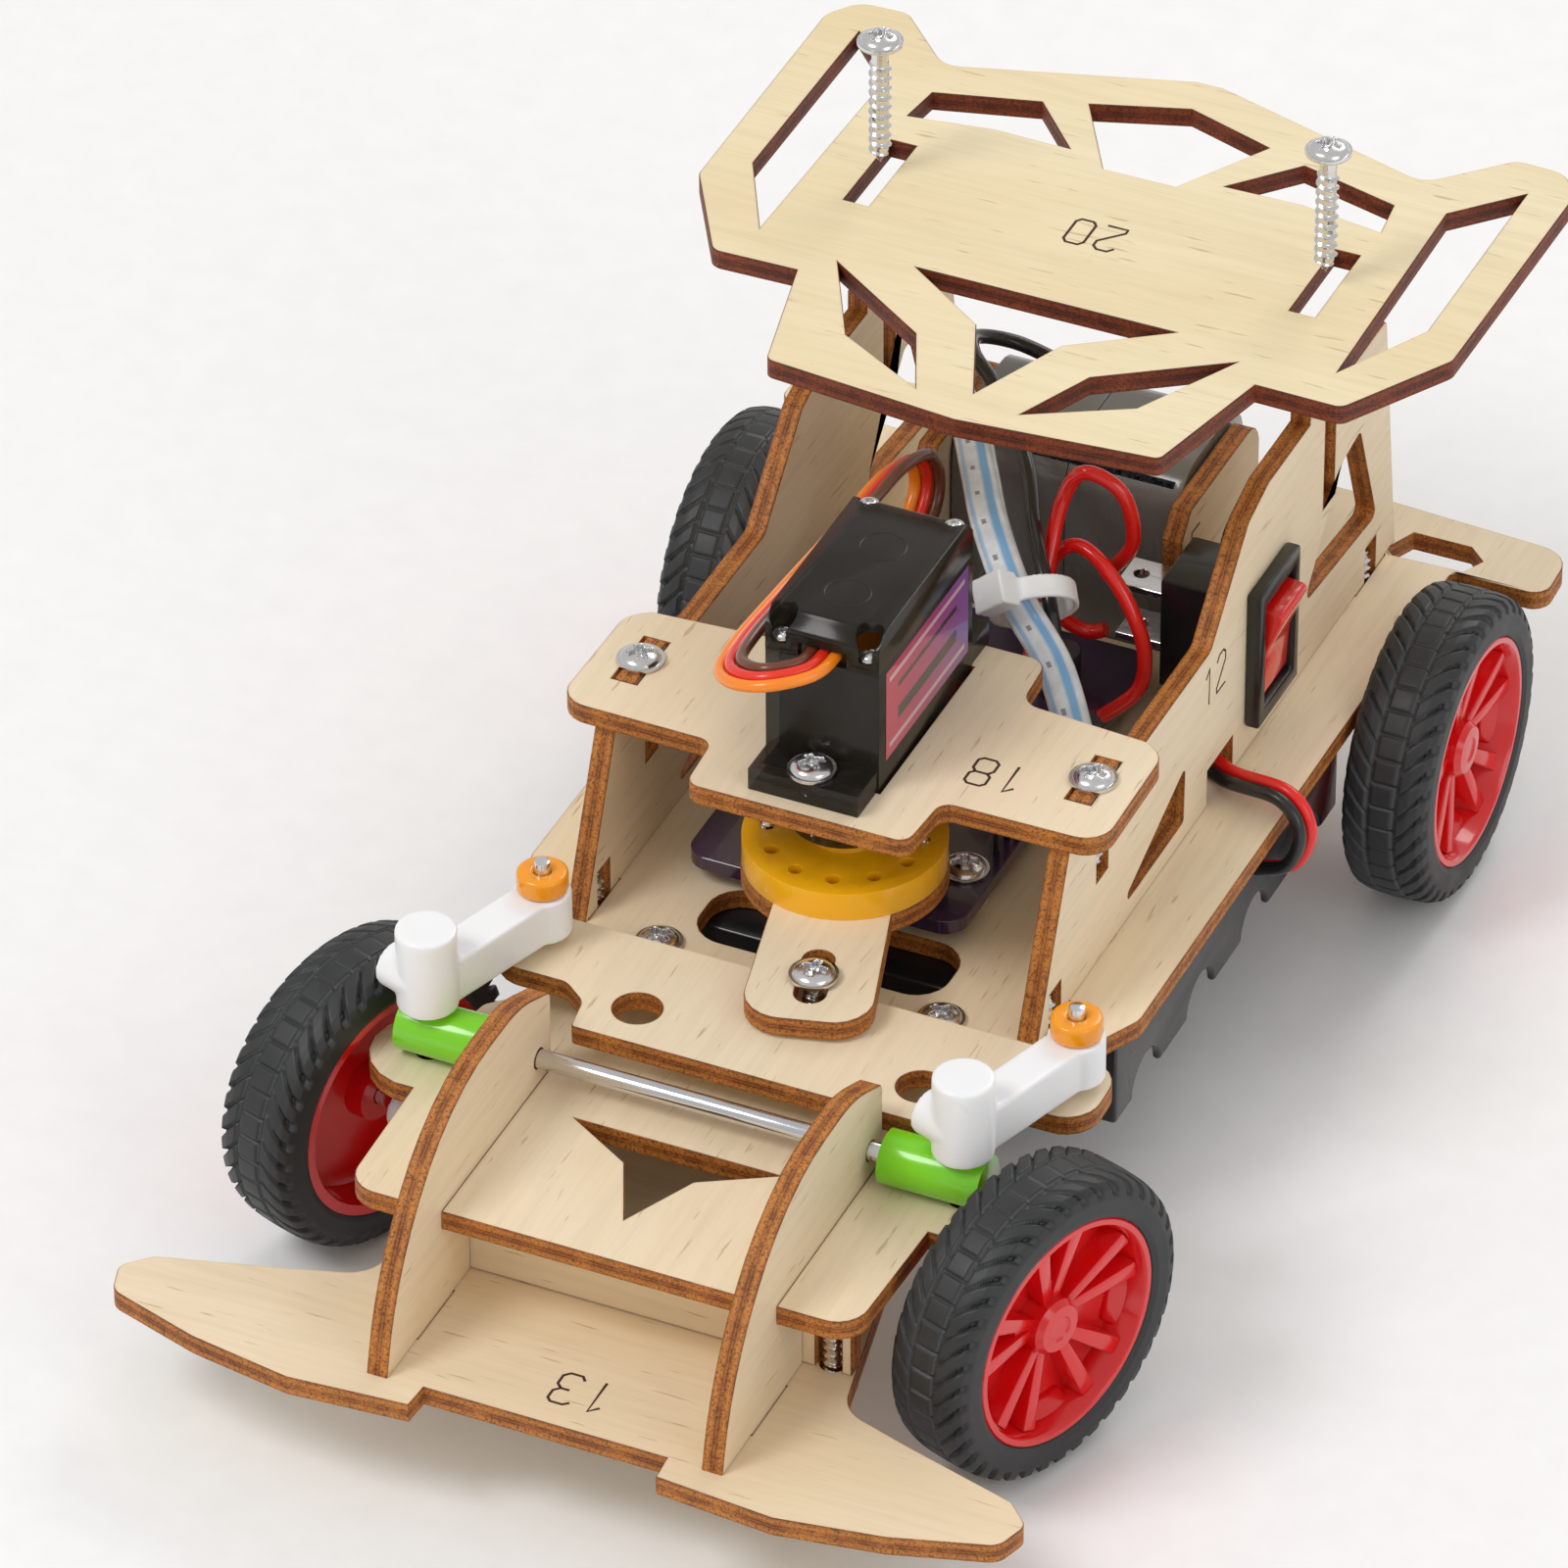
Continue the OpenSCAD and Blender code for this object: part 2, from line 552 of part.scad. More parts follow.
module front_wheel(side) {
  at_kingpin(side) translate([side * wheel_offset, 0, axle_z]) facing(side) children();
}
module rear_wheel(side) {
  car() translate([side * rear_wheel_x, rear_axle_y, axle_z]) facing(side) children();
}
module front_hub_left() { color(red) front_wheel(-1) hub_shape(hub_bore); }
module front_hub_right() { color(red) front_wheel(1) hub_shape(hub_bore); }
module front_tyre_left() { color(black) front_wheel(-1) tyre_shape(); }
module front_tyre_right() { color(black) front_wheel(1) tyre_shape(); }
module rear_hub_left() { color(red) rear_wheel(-1) hub_shape(1); }
module rear_hub_right() { color(red) rear_wheel(1) hub_shape(1); }
module rear_tyre_left() { color(black) rear_wheel(-1) tyre_shape(); }
module rear_tyre_right() { color(black) rear_wheel(1) tyre_shape(); }

module rear_axle() {
  reach = rear_wheel_x + 3.1;
  car() color(steel) rod_x(-reach, reach, rear_axle_y, axle_z, 1);
}

// ---- gear train ------------------------------------------------------------

// Flat gear around the z axis, with one tooth centred at the angle given
module gear(teeth, thick, phase) {
  r = teeth * tooth_size / 2;
  pitch = 360 / teeth;
  root = r - 0.75;
  tip = r + 0.5;
  linear_extrude(thick) union() {
    circle(r = root, $fn = 4 * teeth);
    for (i = [0 : teeth - 1]) rotate(phase + i * pitch) polygon([
      [root - 0.2, -0.5], [r, -0.4], [tip, -0.22], [tip, 0.22], [r, 0.4], [root - 0.2, 0.5]]);
  }
}

// Stands a gear across the car: its own +x axis points up
module on_axle(x, z) { translate([x, rear_axle_y, z]) rotate([0, 90, 0]) rotate([0, 0, 180]) children(); }

module axle_gear() {
  car() color("white") difference() {
    on_axle(-10.3, axle_z) gear(22, 1.6, 0);
    rod_x(-11, -8, rear_axle_y, axle_z, 1);
  }
}

module idler_gear() {
  car() color("white") {
    on_axle(-11.8, idler_z) gear(22, 1.2, 0);
    on_axle(-10.65, idler_z) gear(10, 2, 162);
    rod_x(-12.58, -8.2, rear_axle_y, idler_z, 0.9);
  }
}

module motor_pinion() {
  car() color([0.85, 0.7, 0.3]) {
    on_axle(-11.7, motor_z) gear(8, 1.1, 157.5);
    rod_x(-10.7, -3, rear_axle_y, motor_z, 0.75);
  }
}

module gearbox_half(side) {
  low = 6.4;
  top = 47;
  front = 49;
  back = 66.2;
  x0 = side < 0 ? -12.6 : 0.05;
  x1 = side < 0 ? -0.05 : 12.6;
  car() color([0.45, 0.45, 0.44]) difference() {
    translate([x0, 0, 0]) rotate([90, 0, 90]) linear_extrude(x1 - x0)
      polygon(rounded([[front, low, 3], [front, top, 4.5], [back, top, 4.5], [back, low, 3]]));
    block(side < 0 ? -12 : -1, side < 0 ? 1 : 11.6, front + 1, back - 1, low + 1, top - 1.2);
    rod_x(-14, 14, rear_axle_y, axle_z, 1.08);
    rod_x(-14, -11, rear_axle_y, idler_z, 0.98);
    rod_x(11, 14, rear_axle_y, motor_z, 1.1);
  }
}
module gearbox_half_left() { gearbox_half(-1); }
module gearbox_half_right() { gearbox_half(1); }

module drive_motor() {
  car() color(steel) difference() {
    union() {
      intersection() {
        rod_x(-8, 11.4, rear_axle_y, motor_z, 8.4, 64);
        block(-8, 11.4, rear_axle_y - 7.2, rear_axle_y + 7.2, motor_z - 7.4, motor_z + 7.4);
      }
      rod_x(11, 15.4, rear_axle_y, motor_z, 0.8);
    }
    rod_x(-9, -2.5, rear_axle_y, motor_z, 0.83);
  }
}

// ---- battery, board and switch ----------------------------------------------

module battery_holder() {
  low = 12;
  front = -9.6;
  back = 48.6;
  car() color(black) difference() {
    block(-31, 31, front, back, low, holder_top);
    block(-30.1, 30.1, front + 0.9, back - 0.9, low - 1, holder_top - 1.5);
    for (i = [0 : 3]) rod_x(-32, 32, front + 7.95 + i * cell_pitch, low, 3.4, 40);
  }
}

module battery_cells() {
  car() color([0.12, 0.25, 0.5]) for (i = [0 : 3]) {
    turn = i % 2 == 0 ? 1 : -1;
    y = -9.6 + 7.95 + i * cell_pitch;
    z = holder_top - 1.55 - 7;
    rod_x(-25, 25, y, z, 7, 48);
    rod_x(min(turn * 25, turn * 26.4), max(turn * 25, turn * 26.4), y, z, 2.7, 32);
  }
}

module circuit_board() {
  outline = rounded([[-17.5, -6.6, 2.5], [12.6, -6.6, 2.5], [12.6, 43.6, 2.5], [-17.5, 43.6, 2.5]]);
  car() color([0.16, 0.06, 0.18]) translate([0, 0, board_z]) linear_extrude(1.6) difference() {
    polygon(outline);
    for (p = board_screws) translate(p) circle(r = 1, $fn = 24);
  }
}

// Spacers between the board and the base plate
module board_spacers() {
  car() color("white") for (p = board_screws) translate([p[0], p[1], base_z]) difference() {
    cylinder(r = 2.3, h = board_z - base_z, $fn = 32);
    translate([0, 0, -1]) cylinder(r = 1, h = 5, $fn = 24);
  }
}

// Chips, capacitors, header pins and the servo plug on the board
module board_components() {
  z = board_z + 1.6;
  car() color([0.1, 0.1, 0.12]) {
    block(-8, 0, 2, 8, z, z + 1.4);
    block(-15.5, -10, 10, 16, z, z + 2.4);
    block(2, 9, 20, 27, z, z + 1.6);
    block(-14, -4, 22, 24.5, z, z + 2.6);
    translate([-12, 4, z]) cylinder(r = 2.2, h = 5, $fn = 32);
    translate([6, 34, z]) cylinder(r = 2.2, h = 5, $fn = 32);
    for (i = [0, 3]) translate([-13.4 + i * 2.54, 23, z + 2.5]) cube([0.6, 0.6, 5]);
    block(-12.6, -6.6, 22.2, 24.8, z + 2.7, z + 9.3);
    for (i = [0 : 2]) translate([10.8, 6 + i * 2.54, z]) cube([0.6, 0.6, 5]);
  }
}

module switch_body() {
  car() color(black) difference() {
    union() {
      block(15.8, 25.65, switch_y - 4.3, switch_y + 4.3, switch_z - 6.6, switch_z + 6.6);
      block(25.65, 27.3, switch_y - 5.25, switch_y + 5.25, switch_z - 8.2, switch_z + 8.2);
    }
    block(22.2, 30, switch_y - 3.6, switch_y + 3.6, switch_z - 6.25, switch_z + 6.25);
  }
}

module switch_terminals() {
  car() color(steel) for (dz = [-3.1, 3.1]) translate([10.2, switch_y - 2.4, switch_z + dz - 0.4])
    difference() {
      cube([5.55, 4.8, 0.8]);
      translate([1.8, 2.4, -1]) cylinder(r = 0.8, h = 3, $fn = 24);
    }
}

module switch_rocker() {
  face = rounded([[-1.6, -5.3, 0], [2, -5.6, 0.6], [1.1, 0, 6], [2, 5.6, 0.6], [-1.6, 5.3, 0]]);
  car() color(red) translate([26, switch_y + 3.3, switch_z]) rotate([90, 0, 0])
    linear_extrude(6.6) rotate(-12) polygon(face);
}

// ---- wires ------------------------------------------------------------------

// Smooth route through hand-placed points, with n steps on each stretch
function smooth(p, n) = [for (i = [0 : len(p) - 2], k = [0 : n - 1])
    let (t = k / n, a = p[max(i - 1, 0)], b = p[i], c = p[i + 1], d = p[min(i + 2, len(p) - 1)])
    0.5 * (2 * b + (c - a) * t + (2 * a - 5 * b + 4 * c - d) * t * t
      + (3 * b - a - 3 * c + d) * t * t * t), p[len(p) - 1]];

function heading(p, i) = unit(p[min(i + 1, len(p) - 1)] - p[max(i - 1, 0)]);

// Width directions carried along a route without twisting
function widths(p, i, u) = i >= len(p) ? [] :
  let (d = heading(p, i), w = unit(u - (u * d) * d)) concat([w], widths(p, i + 1, w));

// A cord swept along a route as one closed solid, 2 rx wide and 2 ry thick
module cord(route, rx, ry, steps, across = [1, 0, 0]) {
  sides = 8;
  p = smooth(route, steps);
  n = len(p);
  u = widths(p, 0, across);
  pts = [for (i = [0 : n - 1]) let (v = cross(heading(p, i), u[i])) for (k = [0 : sides - 1])
    p[i] + u[i] * rx * cos(k * 360 / sides) + v * ry * sin(k * 360 / sides)];
  walls = [for (i = [0 : n - 2], k = [0 : sides - 1])
    [i * sides + k, i * sides + (k + 1) % sides, (i + 1) * sides + (k + 1) % sides, (i + 1) * sides + k]];
  ends = [[for (k = [sides - 1 : -1 : 0]) k], [for (k = [0 : sides - 1]) (n - 1) * sides + k]];
  polyhedron(pts, concat(walls, ends));
}

servo_route = [[0, -10.6, 61.65], [-0.6, -14, 61.6], [-4.5, -16.4, 61], [-8.6, -14, 59.5],
  [-9.8, -8, 58.6], [-9.4, 2, 58.4], [-9.6, 13, 57], [-11, 23, 54.2], [-11, 31, 53.4],
  [-10.6, 36.4, 51.4], [-10.2, 37.2, 47.2], [-10, 33, 44], [-9.8, 27, 42.4], [-9.6, 23.8, 38.7]];
red_loop_a = [[8.8, 39, 41], [12, 38.4, 46.2], [11, 38, 52.2], [7, 37.6, 54], [4.9, 36.9, 50.5],
  [4.8, 33.6, 45], [5.2, 29.6, 39.5], [6, 24, 34], [5.5, 22, 31.6]];
red_loop_b = [[9, 39, 34.2], [7, 38.6, 33.6], [4.6, 37.6, 35.6], [3.6, 36.8, 39.6], [4.2, 36.4, 43.4],
  [6.8, 36, 46], [10, 35, 45.4], [13.6, 33.8, 42], [15.8, 32.8, 37.4], [15.4, 32, 33], [12.4, 29.6, 30.4]];
battery_route = [[17.6, 35.8, 31.2], [20.8, 32.6, 28.5], [26, 29.6, 27.4], [33.2, 28, 27.9],
  [36, 27, 25], [34.8, 26.6, 20.8], [31.3, 26.6, 19.2]];
black_route = [[-6, 62.5, 47.95], [-11, 62, 49.5], [-14, 58.5, 51.6], [-12.6, 54.4, 52.6], [-8.8, 51, 51.8],
  [-4.6, 46.6, 50.4], [-0.6, 41, 49.6], [3.4, 33.4, 48], [7.7, 27.4, 44.2], [11.4, 21.8, 37.4],
  [13.8, 16.6, 33], [12, 13.5, 30.2]];
sleeve_route = [[-15, 53.4, 49.6], [-10, 47.5, 48.8], [-5.5, 40, 48.4], [-1, 32.5, 48],
  [4.8, 25.8, 45.2], [11.6, 19.8, 42.6], [17, 13.8, 36.6], [20, 10.2, 31.2]];

module servo_lead() { car() color("orange") cord(servo_route, 1.9, 0.65, 3); }
module power_wires() {
  car() color(red) {
    cord(red_loop_a, 0.8, 0.8, 2);
    cord(red_loop_b, 0.8, 0.8, 2, [0, 0, 1]);
    cord(battery_route, 1.5, 0.75, 2, [0.7, 0.7, 0]);
  }
}
module tied_cables() {
  car() {
    color(black) cord(black_route, 0.8, 0.8, 2, [0, 1, 0]);
    color("white") cord(sleeve_route, 2, 1, 2, [0.7, 0.7, 0]);
  }
}

// Nylon tie around the cables, with its square head
module zip_tie() {
  car() color("white") translate([6.1, 26.6, 45]) rotate([0, 56, 125]) rotate([0, 0, 130]) {
    difference() {
      cylinder(r = 4.6, h = 2.4, center = true, $fn = 40);
      cylinder(r = 4, h = 4, center = true, $fn = 40);
    }
    translate([4.2, -2, -1.8]) cube([2.6, 4, 3.6]);
  }
}

base_plate();
front_wing_plate();
nose_fins();
nose_bulkheads();
side_panel_left();
side_panel_right();
servo_plate();
motor_brackets();
front_axle_rod();
axle_sleeves();
chassis_screws();
servo_case_body();
servo_gear_cover();
servo_end_cover();
servo_motor();
servo_case_screws();
servo_shaft();
servo_horn();
servo_arm();
horn_screws();
tie_bar();
tie_bar_screw();
knuckle_left();
knuckle_right();
axle_carrier_left();
axle_carrier_right();
steering_pins_left();
steering_pins_right();
pin_cap_left();
pin_cap_right();
front_hub_left();
front_hub_right();
front_tyre_left();
front_tyre_right();
rear_axle();
rear_hub_left();
rear_hub_right();
rear_tyre_left();
rear_tyre_right();
axle_gear();
idler_gear();
motor_pinion();
gearbox_half_left();
gearbox_half_right();
drive_motor();
battery_holder();
battery_cells();
circuit_board();
board_spacers();
board_components();
switch_body();
switch_terminals();
switch_rocker();
servo_lead();
power_wires();
tied_cables();
zip_tie();
rear_wing();
wing_screw_left();
wing_screw_right();
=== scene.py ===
"""Looks of the four-wheel robot chassis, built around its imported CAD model.

Row frame in metres: the car's front is -Y, +Z is up, left in a name is -X.
"""

import json
import math

import bmesh
import bpy
import numpy as np
from mathutils import Matrix, Vector


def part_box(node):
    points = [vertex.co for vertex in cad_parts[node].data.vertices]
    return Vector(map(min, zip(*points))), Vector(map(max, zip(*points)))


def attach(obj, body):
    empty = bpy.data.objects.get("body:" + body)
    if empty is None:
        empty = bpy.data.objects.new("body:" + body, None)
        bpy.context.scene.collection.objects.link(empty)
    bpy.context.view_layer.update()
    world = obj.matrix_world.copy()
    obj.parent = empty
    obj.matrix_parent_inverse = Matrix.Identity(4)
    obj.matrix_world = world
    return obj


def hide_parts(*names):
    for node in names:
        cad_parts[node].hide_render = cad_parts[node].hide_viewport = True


MM = 0.001
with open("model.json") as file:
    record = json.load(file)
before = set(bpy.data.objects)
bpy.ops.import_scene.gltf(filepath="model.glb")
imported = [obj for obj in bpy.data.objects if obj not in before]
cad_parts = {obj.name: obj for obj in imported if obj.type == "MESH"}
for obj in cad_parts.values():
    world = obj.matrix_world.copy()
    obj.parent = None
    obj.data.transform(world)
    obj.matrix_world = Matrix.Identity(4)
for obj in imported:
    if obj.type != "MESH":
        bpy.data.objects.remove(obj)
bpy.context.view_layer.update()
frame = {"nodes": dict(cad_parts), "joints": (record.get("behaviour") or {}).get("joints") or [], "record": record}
BODY_OF = {
    node: body
    for body, members in frame["record"]["behaviour"]["bodies"].items()
    for node in members
}
SLOT_OF = {s["node"]: s["material_slot"] for s in frame["record"]["subparts"]}
JOINTS = {j["name"]: j for j in frame["joints"]}

# ---- camera, lights and floor ------------------------------------------------


def look_from(azimuth, elevation, roll, distance, lens, aim):
    """Camera at a distance from aim; azimuth 0 looks along +Y, angles in degrees."""
    a, e, r = (math.radians(v) for v in (azimuth, elevation, roll))
    back = Vector((math.sin(a) * math.cos(e), -math.cos(a) * math.cos(e), math.sin(e)))
    level = Vector((math.cos(a), math.sin(a), 0))
    rise = back.cross(level)
    right = math.cos(r) * level + math.sin(r) * rise
    up = math.cos(r) * rise - math.sin(r) * level
    data = bpy.data.cameras.new("camera")
    data.lens = lens
    data.sensor_width = 36
    data.clip_start = 0.05
    data.clip_end = 20
    camera = bpy.data.objects.new("camera", data)
    place = Matrix((right, up, back)).transposed().to_4x4()
    place.translation = aim + back * distance
    camera.matrix_world = place
    bpy.context.scene.collection.objects.link(camera)
    bpy.context.scene.camera = camera


def area_light(name, place, target, size, power):
    data = bpy.data.lights.new(name, "AREA")
    data.shape = "DISK"
    data.size = size
    data.energy = power
    light = bpy.data.objects.new(name, data)
    light.location = place
    light.rotation_mode = "QUATERNION"
    light.rotation_quaternion = (Vector(target) - Vector(place)).to_track_quat("-Z", "Y")
    bpy.context.scene.collection.objects.link(light)


# The photograph's view: angles in degrees, distance and aim in metres, lens in millimetres.
VIEW = {
    "azimuth": 24.498, "elevation": 36.696, "roll": -0.248, "distance": 1.1771, "lens": 268.6,
    "aim": Vector((-0.01257, 0.00411, 0.02967)),
}
WORLD_COLOUR = (1, 0.985, 0.965, 1)
WORLD_STRENGTH = 0.62
FLOOR_SIZE = 6
FLOOR_COLOUR = (0.96, 0.96, 0.965)
# name, place, target, size in metres, power in watts
LIGHTS = [
    ("key", (-0.45, -0.55, 0.95), (0, 0, 0.03), 0.45, 4.6),
    ("fill", (0.75, -0.35, 0.5), (0, 0, 0.03), 0.6, 1.2),
    ("rim", (0.1, 0.85, 0.75), (0, 0, 0.04), 0.5, 2.4),
]


def studio():
    look_from(**VIEW)
    world = bpy.data.worlds.new("studio")
    world.use_nodes = True
    background = world.node_tree.nodes["Background"]
    background.inputs["Color"].default_value = WORLD_COLOUR
    background.inputs["Strength"].default_value = WORLD_STRENGTH
    bpy.context.scene.world = world
    bpy.context.scene.view_settings.view_transform = "Standard"
    for light in LIGHTS:
        area_light(*light)
    bpy.ops.mesh.primitive_plane_add(size=FLOOR_SIZE, location=(0, 0, 0))
    floor = bpy.context.object
    floor.name = "floor"
    floor.data.materials.append(plain("pale_floor", FLOOR_COLOUR, 0.6))


# ---- materials ---------------------------------------------------------------


class Shader:
    """One material, with short calls that add nodes and join them."""

    def __init__(self, name, **sockets):
        self.material = bpy.data.materials.new(name)
        self.material.use_nodes = True
        self.tree = self.material.node_tree
        self.bsdf = self.tree.nodes["Principled BSDF"]
        for socket, value in sockets.items():
            self.put(self.bsdf, socket.replace("_", " "), value)
        self.coordinates = self.node("ShaderNodeTexCoord").outputs["Object"]

    def node(self, kind, **settings):
        made = self.tree.nodes.new(kind)
        for key, value in settings.items():
            setattr(made, key, value)
        return made

    def put(self, node, socket, value):
        """Sets a socket, by name or index, to a value, or joins another node's output to it."""
        target = node.inputs[socket]
        if isinstance(value, bpy.types.NodeSocket):
            self.tree.links.new(value, target)
        elif isinstance(value, (tuple, list)) and len(target.default_value) == 4:
            target.default_value = (*value[:3], 1)
        else:
            target.default_value = value

    def noise(self, scale, stretch=(1, 1, 1), detail=3, roughness=0.55):
        mapping = self.node("ShaderNodeMapping")
        self.put(mapping, "Vector", self.coordinates)
        self.put(mapping, "Scale", stretch)
        made = self.node("ShaderNodeTexNoise")
        self.put(made, "Vector", mapping.outputs["Vector"])
        self.put(made, "Scale", scale)
        self.put(made, "Detail", detail)
        self.put(made, "Roughness", roughness)
        return made.outputs["Fac"]

    def attribute(self, name):
        return self.node("ShaderNodeAttribute", attribute_name=name).outputs["Fac"]

    def ramp(self, factor, stops):
        """stops is a list of (position, colour or grey level)."""
        made = self.node("ShaderNodeValToRGB")
        self.put(made, "Fac", factor)
        elements = made.color_ramp.elements
        while len(elements) < len(stops):
            elements.new(0.5)
        for element, (position, level) in zip(elements, stops):
            colour = level if isinstance(level, tuple) else (level,) * 3
            element.position = position
            element.color = (*colour, 1)
        return made.outputs["Color"]

    def mix(self, factor, a, b):
        """The Mix node's colour sockets share their names with its others, so they go by index."""
        made = self.node("ShaderNodeMix", data_type="RGBA")
        self.put(made, 0, factor)
        self.put(made, 6, a)
        self.put(made, 7, b)
        return made.outputs[2]

    def math(self, operation, a, b=0.0):
        """The Math node's inputs share one name, so they go by index."""
        made = self.node("ShaderNodeMath", operation=operation)
        self.put(made, 0, a)
        self.put(made, 1, b)
        return made.outputs[0]

    def bump(self, height, strength, distance):
        made = self.node("ShaderNodeBump")
        self.put(made, "Height", height)
        self.put(made, "Strength", strength)
        self.put(made, "Distance", distance)
        self.put(self.bsdf, "Normal", made.outputs["Normal"])

    def colour(self, value):
        self.put(self.bsdf, "Base Color", value)

    def roughness(self, value):
        self.put(self.bsdf, "Roughness", value)


def plain(name, colour, roughness, metallic=0.0):
    """Even surface with a little change of tone and gloss."""
    s = Shader(name, Metallic=metallic)
    wear = s.noise(220)
    darker = tuple(0.93 * c for c in colour)
    s.colour(s.mix(wear, darker, colour))
    s.roughness(s.ramp(wear, [(0.3, max(0.02, roughness - 0.04)), (0.7, roughness + 0.04)]))
    return s.material


PORE_BROWN = (0.42, 0.22, 0.09)
SMOKE_BROWN = (0.40, 0.17, 0.045)


def ply_face(name, pale, warm, grain):
    """Basswood veneer: fine grain and pores, toasted along the laser-cut outline."""
    s = Shader(name)
    broad = s.noise(38, tuple(0.25 + 0.75 * g for g in grain), 4)
    fine = s.noise(900, tuple(0.06 if g < 0.5 else 1 for g in grain), 4, 0.65)
    pores = s.noise(1700, tuple(0.09 if g < 0.5 else 1 for g in grain), 2, 0.5)
    wood = s.mix(s.ramp(broad, [(0.35, 0.0), (0.7, 1.0)]), pale, warm)
    fibre_tone = tuple(0.72 * c for c in warm)
    wood = s.mix(s.ramp(fine, [(0.42, 0.0), (0.75, 0.30)]), wood, fibre_tone)
    wood = s.mix(s.ramp(pores, [(0.67, 0.0), (0.73, 0.5)]), wood, PORE_BROWN)
    halo = s.ramp(s.attribute("char"), [(0.0, 0.0), (0.45, 0.10), (0.85, 0.42), (1.0, 0.95)])
    smoke = s.math("MULTIPLY", halo, s.ramp(s.noise(420), [(0.3, 0.45), (0.75, 1.0)]))
    wood = s.mix(smoke, wood, SMOKE_BROWN)
    s.colour(wood)
    s.roughness(s.ramp(fine, [(0.3, 0.5), (0.8, 0.66)]))
    s.bump(fine, 0.22, 0.05 * MM)
    return s.material


def burnt_edge(name, light, mid, dark):
    """Laser-cut edge: three plies with a darker core, char lines and fibre speckle."""
    s = Shader(name)
    across = s.attribute("across")
    fibre = s.noise(3600, (1, 1, 1), 4, 0.75)
    patch = s.noise(330, (1, 1, 1), 3)
    plies = s.ramp(across, [(0.0, dark), (0.07, mid), (0.20, light), (0.36, mid), (0.42, dark),
                            (0.50, mid), (0.58, dark), (0.64, mid), (0.80, light), (0.93, mid),
                            (1.0, dark)])
    paler = tuple(min(1.0, 1.3 * c) for c in light)
    blacker = tuple(0.55 * c for c in dark)
    char = s.mix(s.ramp(patch, [(0.40, 0.0), (0.70, 0.55)]), plies, paler)
    char = s.mix(s.ramp(fibre, [(0.48, 0.0), (0.62, 0.8)]), char, blacker)
    s.colour(char)
    s.roughness(0.62)
    s.bump(fibre, 0.55, 0.12 * MM)
    return s.material


def moulded(name, colour, roughness, coat=0.0, mottle=0.12, subsurface=0.0):
    """Injection-moulded plastic with faint flow marks and a fine skin."""
    s = Shader(name)
    s.bsdf.inputs["Coat Weight"].default_value = coat
    s.bsdf.inputs["Coat Roughness"].default_value = 0.08
    if subsurface:
        s.bsdf.inputs["Subsurface Weight"].default_value = subsurface
        s.bsdf.inputs["Subsurface Radius"].default_value = (1.0, 0.7, 0.5)
        s.bsdf.inputs["Subsurface Scale"].default_value = 0.8 * MM
    flow = s.noise(170, (1, 1, 0.5), 3)
    skin = s.noise(2400, detail=2)
    s.colour(s.mix(flow, tuple((1 - mottle) * c for c in colour), colour))
    s.roughness(s.ramp(flow, [(0.3, max(0.03, roughness - 0.05)), (0.75, roughness + 0.05)]))
    s.bump(skin, 0.06, 0.03 * MM)
    return s.material


def metal(name, colour, roughness, stretch=(1, 1, 1)):
    """Plated or drawn steel with fine scratches along its length."""
    s = Shader(name, Metallic=1.0)
    scratch = s.noise(1500, stretch, 4, 0.7)
    stain = s.noise(240, detail=3)
    s.colour(s.mix(stain, tuple(0.82 * c for c in colour), colour))
    s.roughness(s.ramp(scratch, [(0.35, max(0.04, roughness - 0.08)), (0.7, roughness + 0.12)]))
    s.bump(scratch, 0.12, 0.02 * MM)
    return s.material


def tyre_rubber():
    """Black rubber with a dusty skin, and a painted highlight along the walls of the tread grooves."""
    s = Shader("tyre_rubber")
    dust = s.noise(330, detail=4)
    skin = s.noise(2600, detail=3)
    groove = s.attribute("groove")
    # cut is not a colour of the rubber: it is a painted highlight, a paler grey laid along the groove walls where
    # light catches the block edges.
    clean, dusty, cut = (0.020, 0.021, 0.023), (0.042, 0.043, 0.046), (0.11, 0.115, 0.12)
    rubber = s.mix(s.ramp(dust, [(0.4, 0.0), (0.8, 0.35)]), clean, dusty)
    rubber = s.mix(s.ramp(groove, [(0.15, 0.0), (0.5, 0.55), (0.9, 0.15)]), rubber, cut)
    s.colour(rubber)
    s.roughness(s.ramp(dust, [(0.3, 0.42), (0.8, 0.6)]))
    s.bump(skin, 0.25, 0.05 * MM)
    return s.material


def smoked(name, alpha):
    """Dark smoke-tinted clear plastic."""
    s = Shader(name)
    swirl = s.noise(140, detail=3)
    s.colour(s.mix(swirl, (0.008, 0.007, 0.005), (0.026, 0.022, 0.016)))
    s.roughness(s.ramp(swirl, [(0.3, 0.14), (0.8, 0.26)]))
    s.bsdf.inputs["Alpha"].default_value = alpha
    s.bsdf.inputs["Specular IOR Level"].default_value = 0.35
    return s.material


SLEEVE_DASHES = 14.0


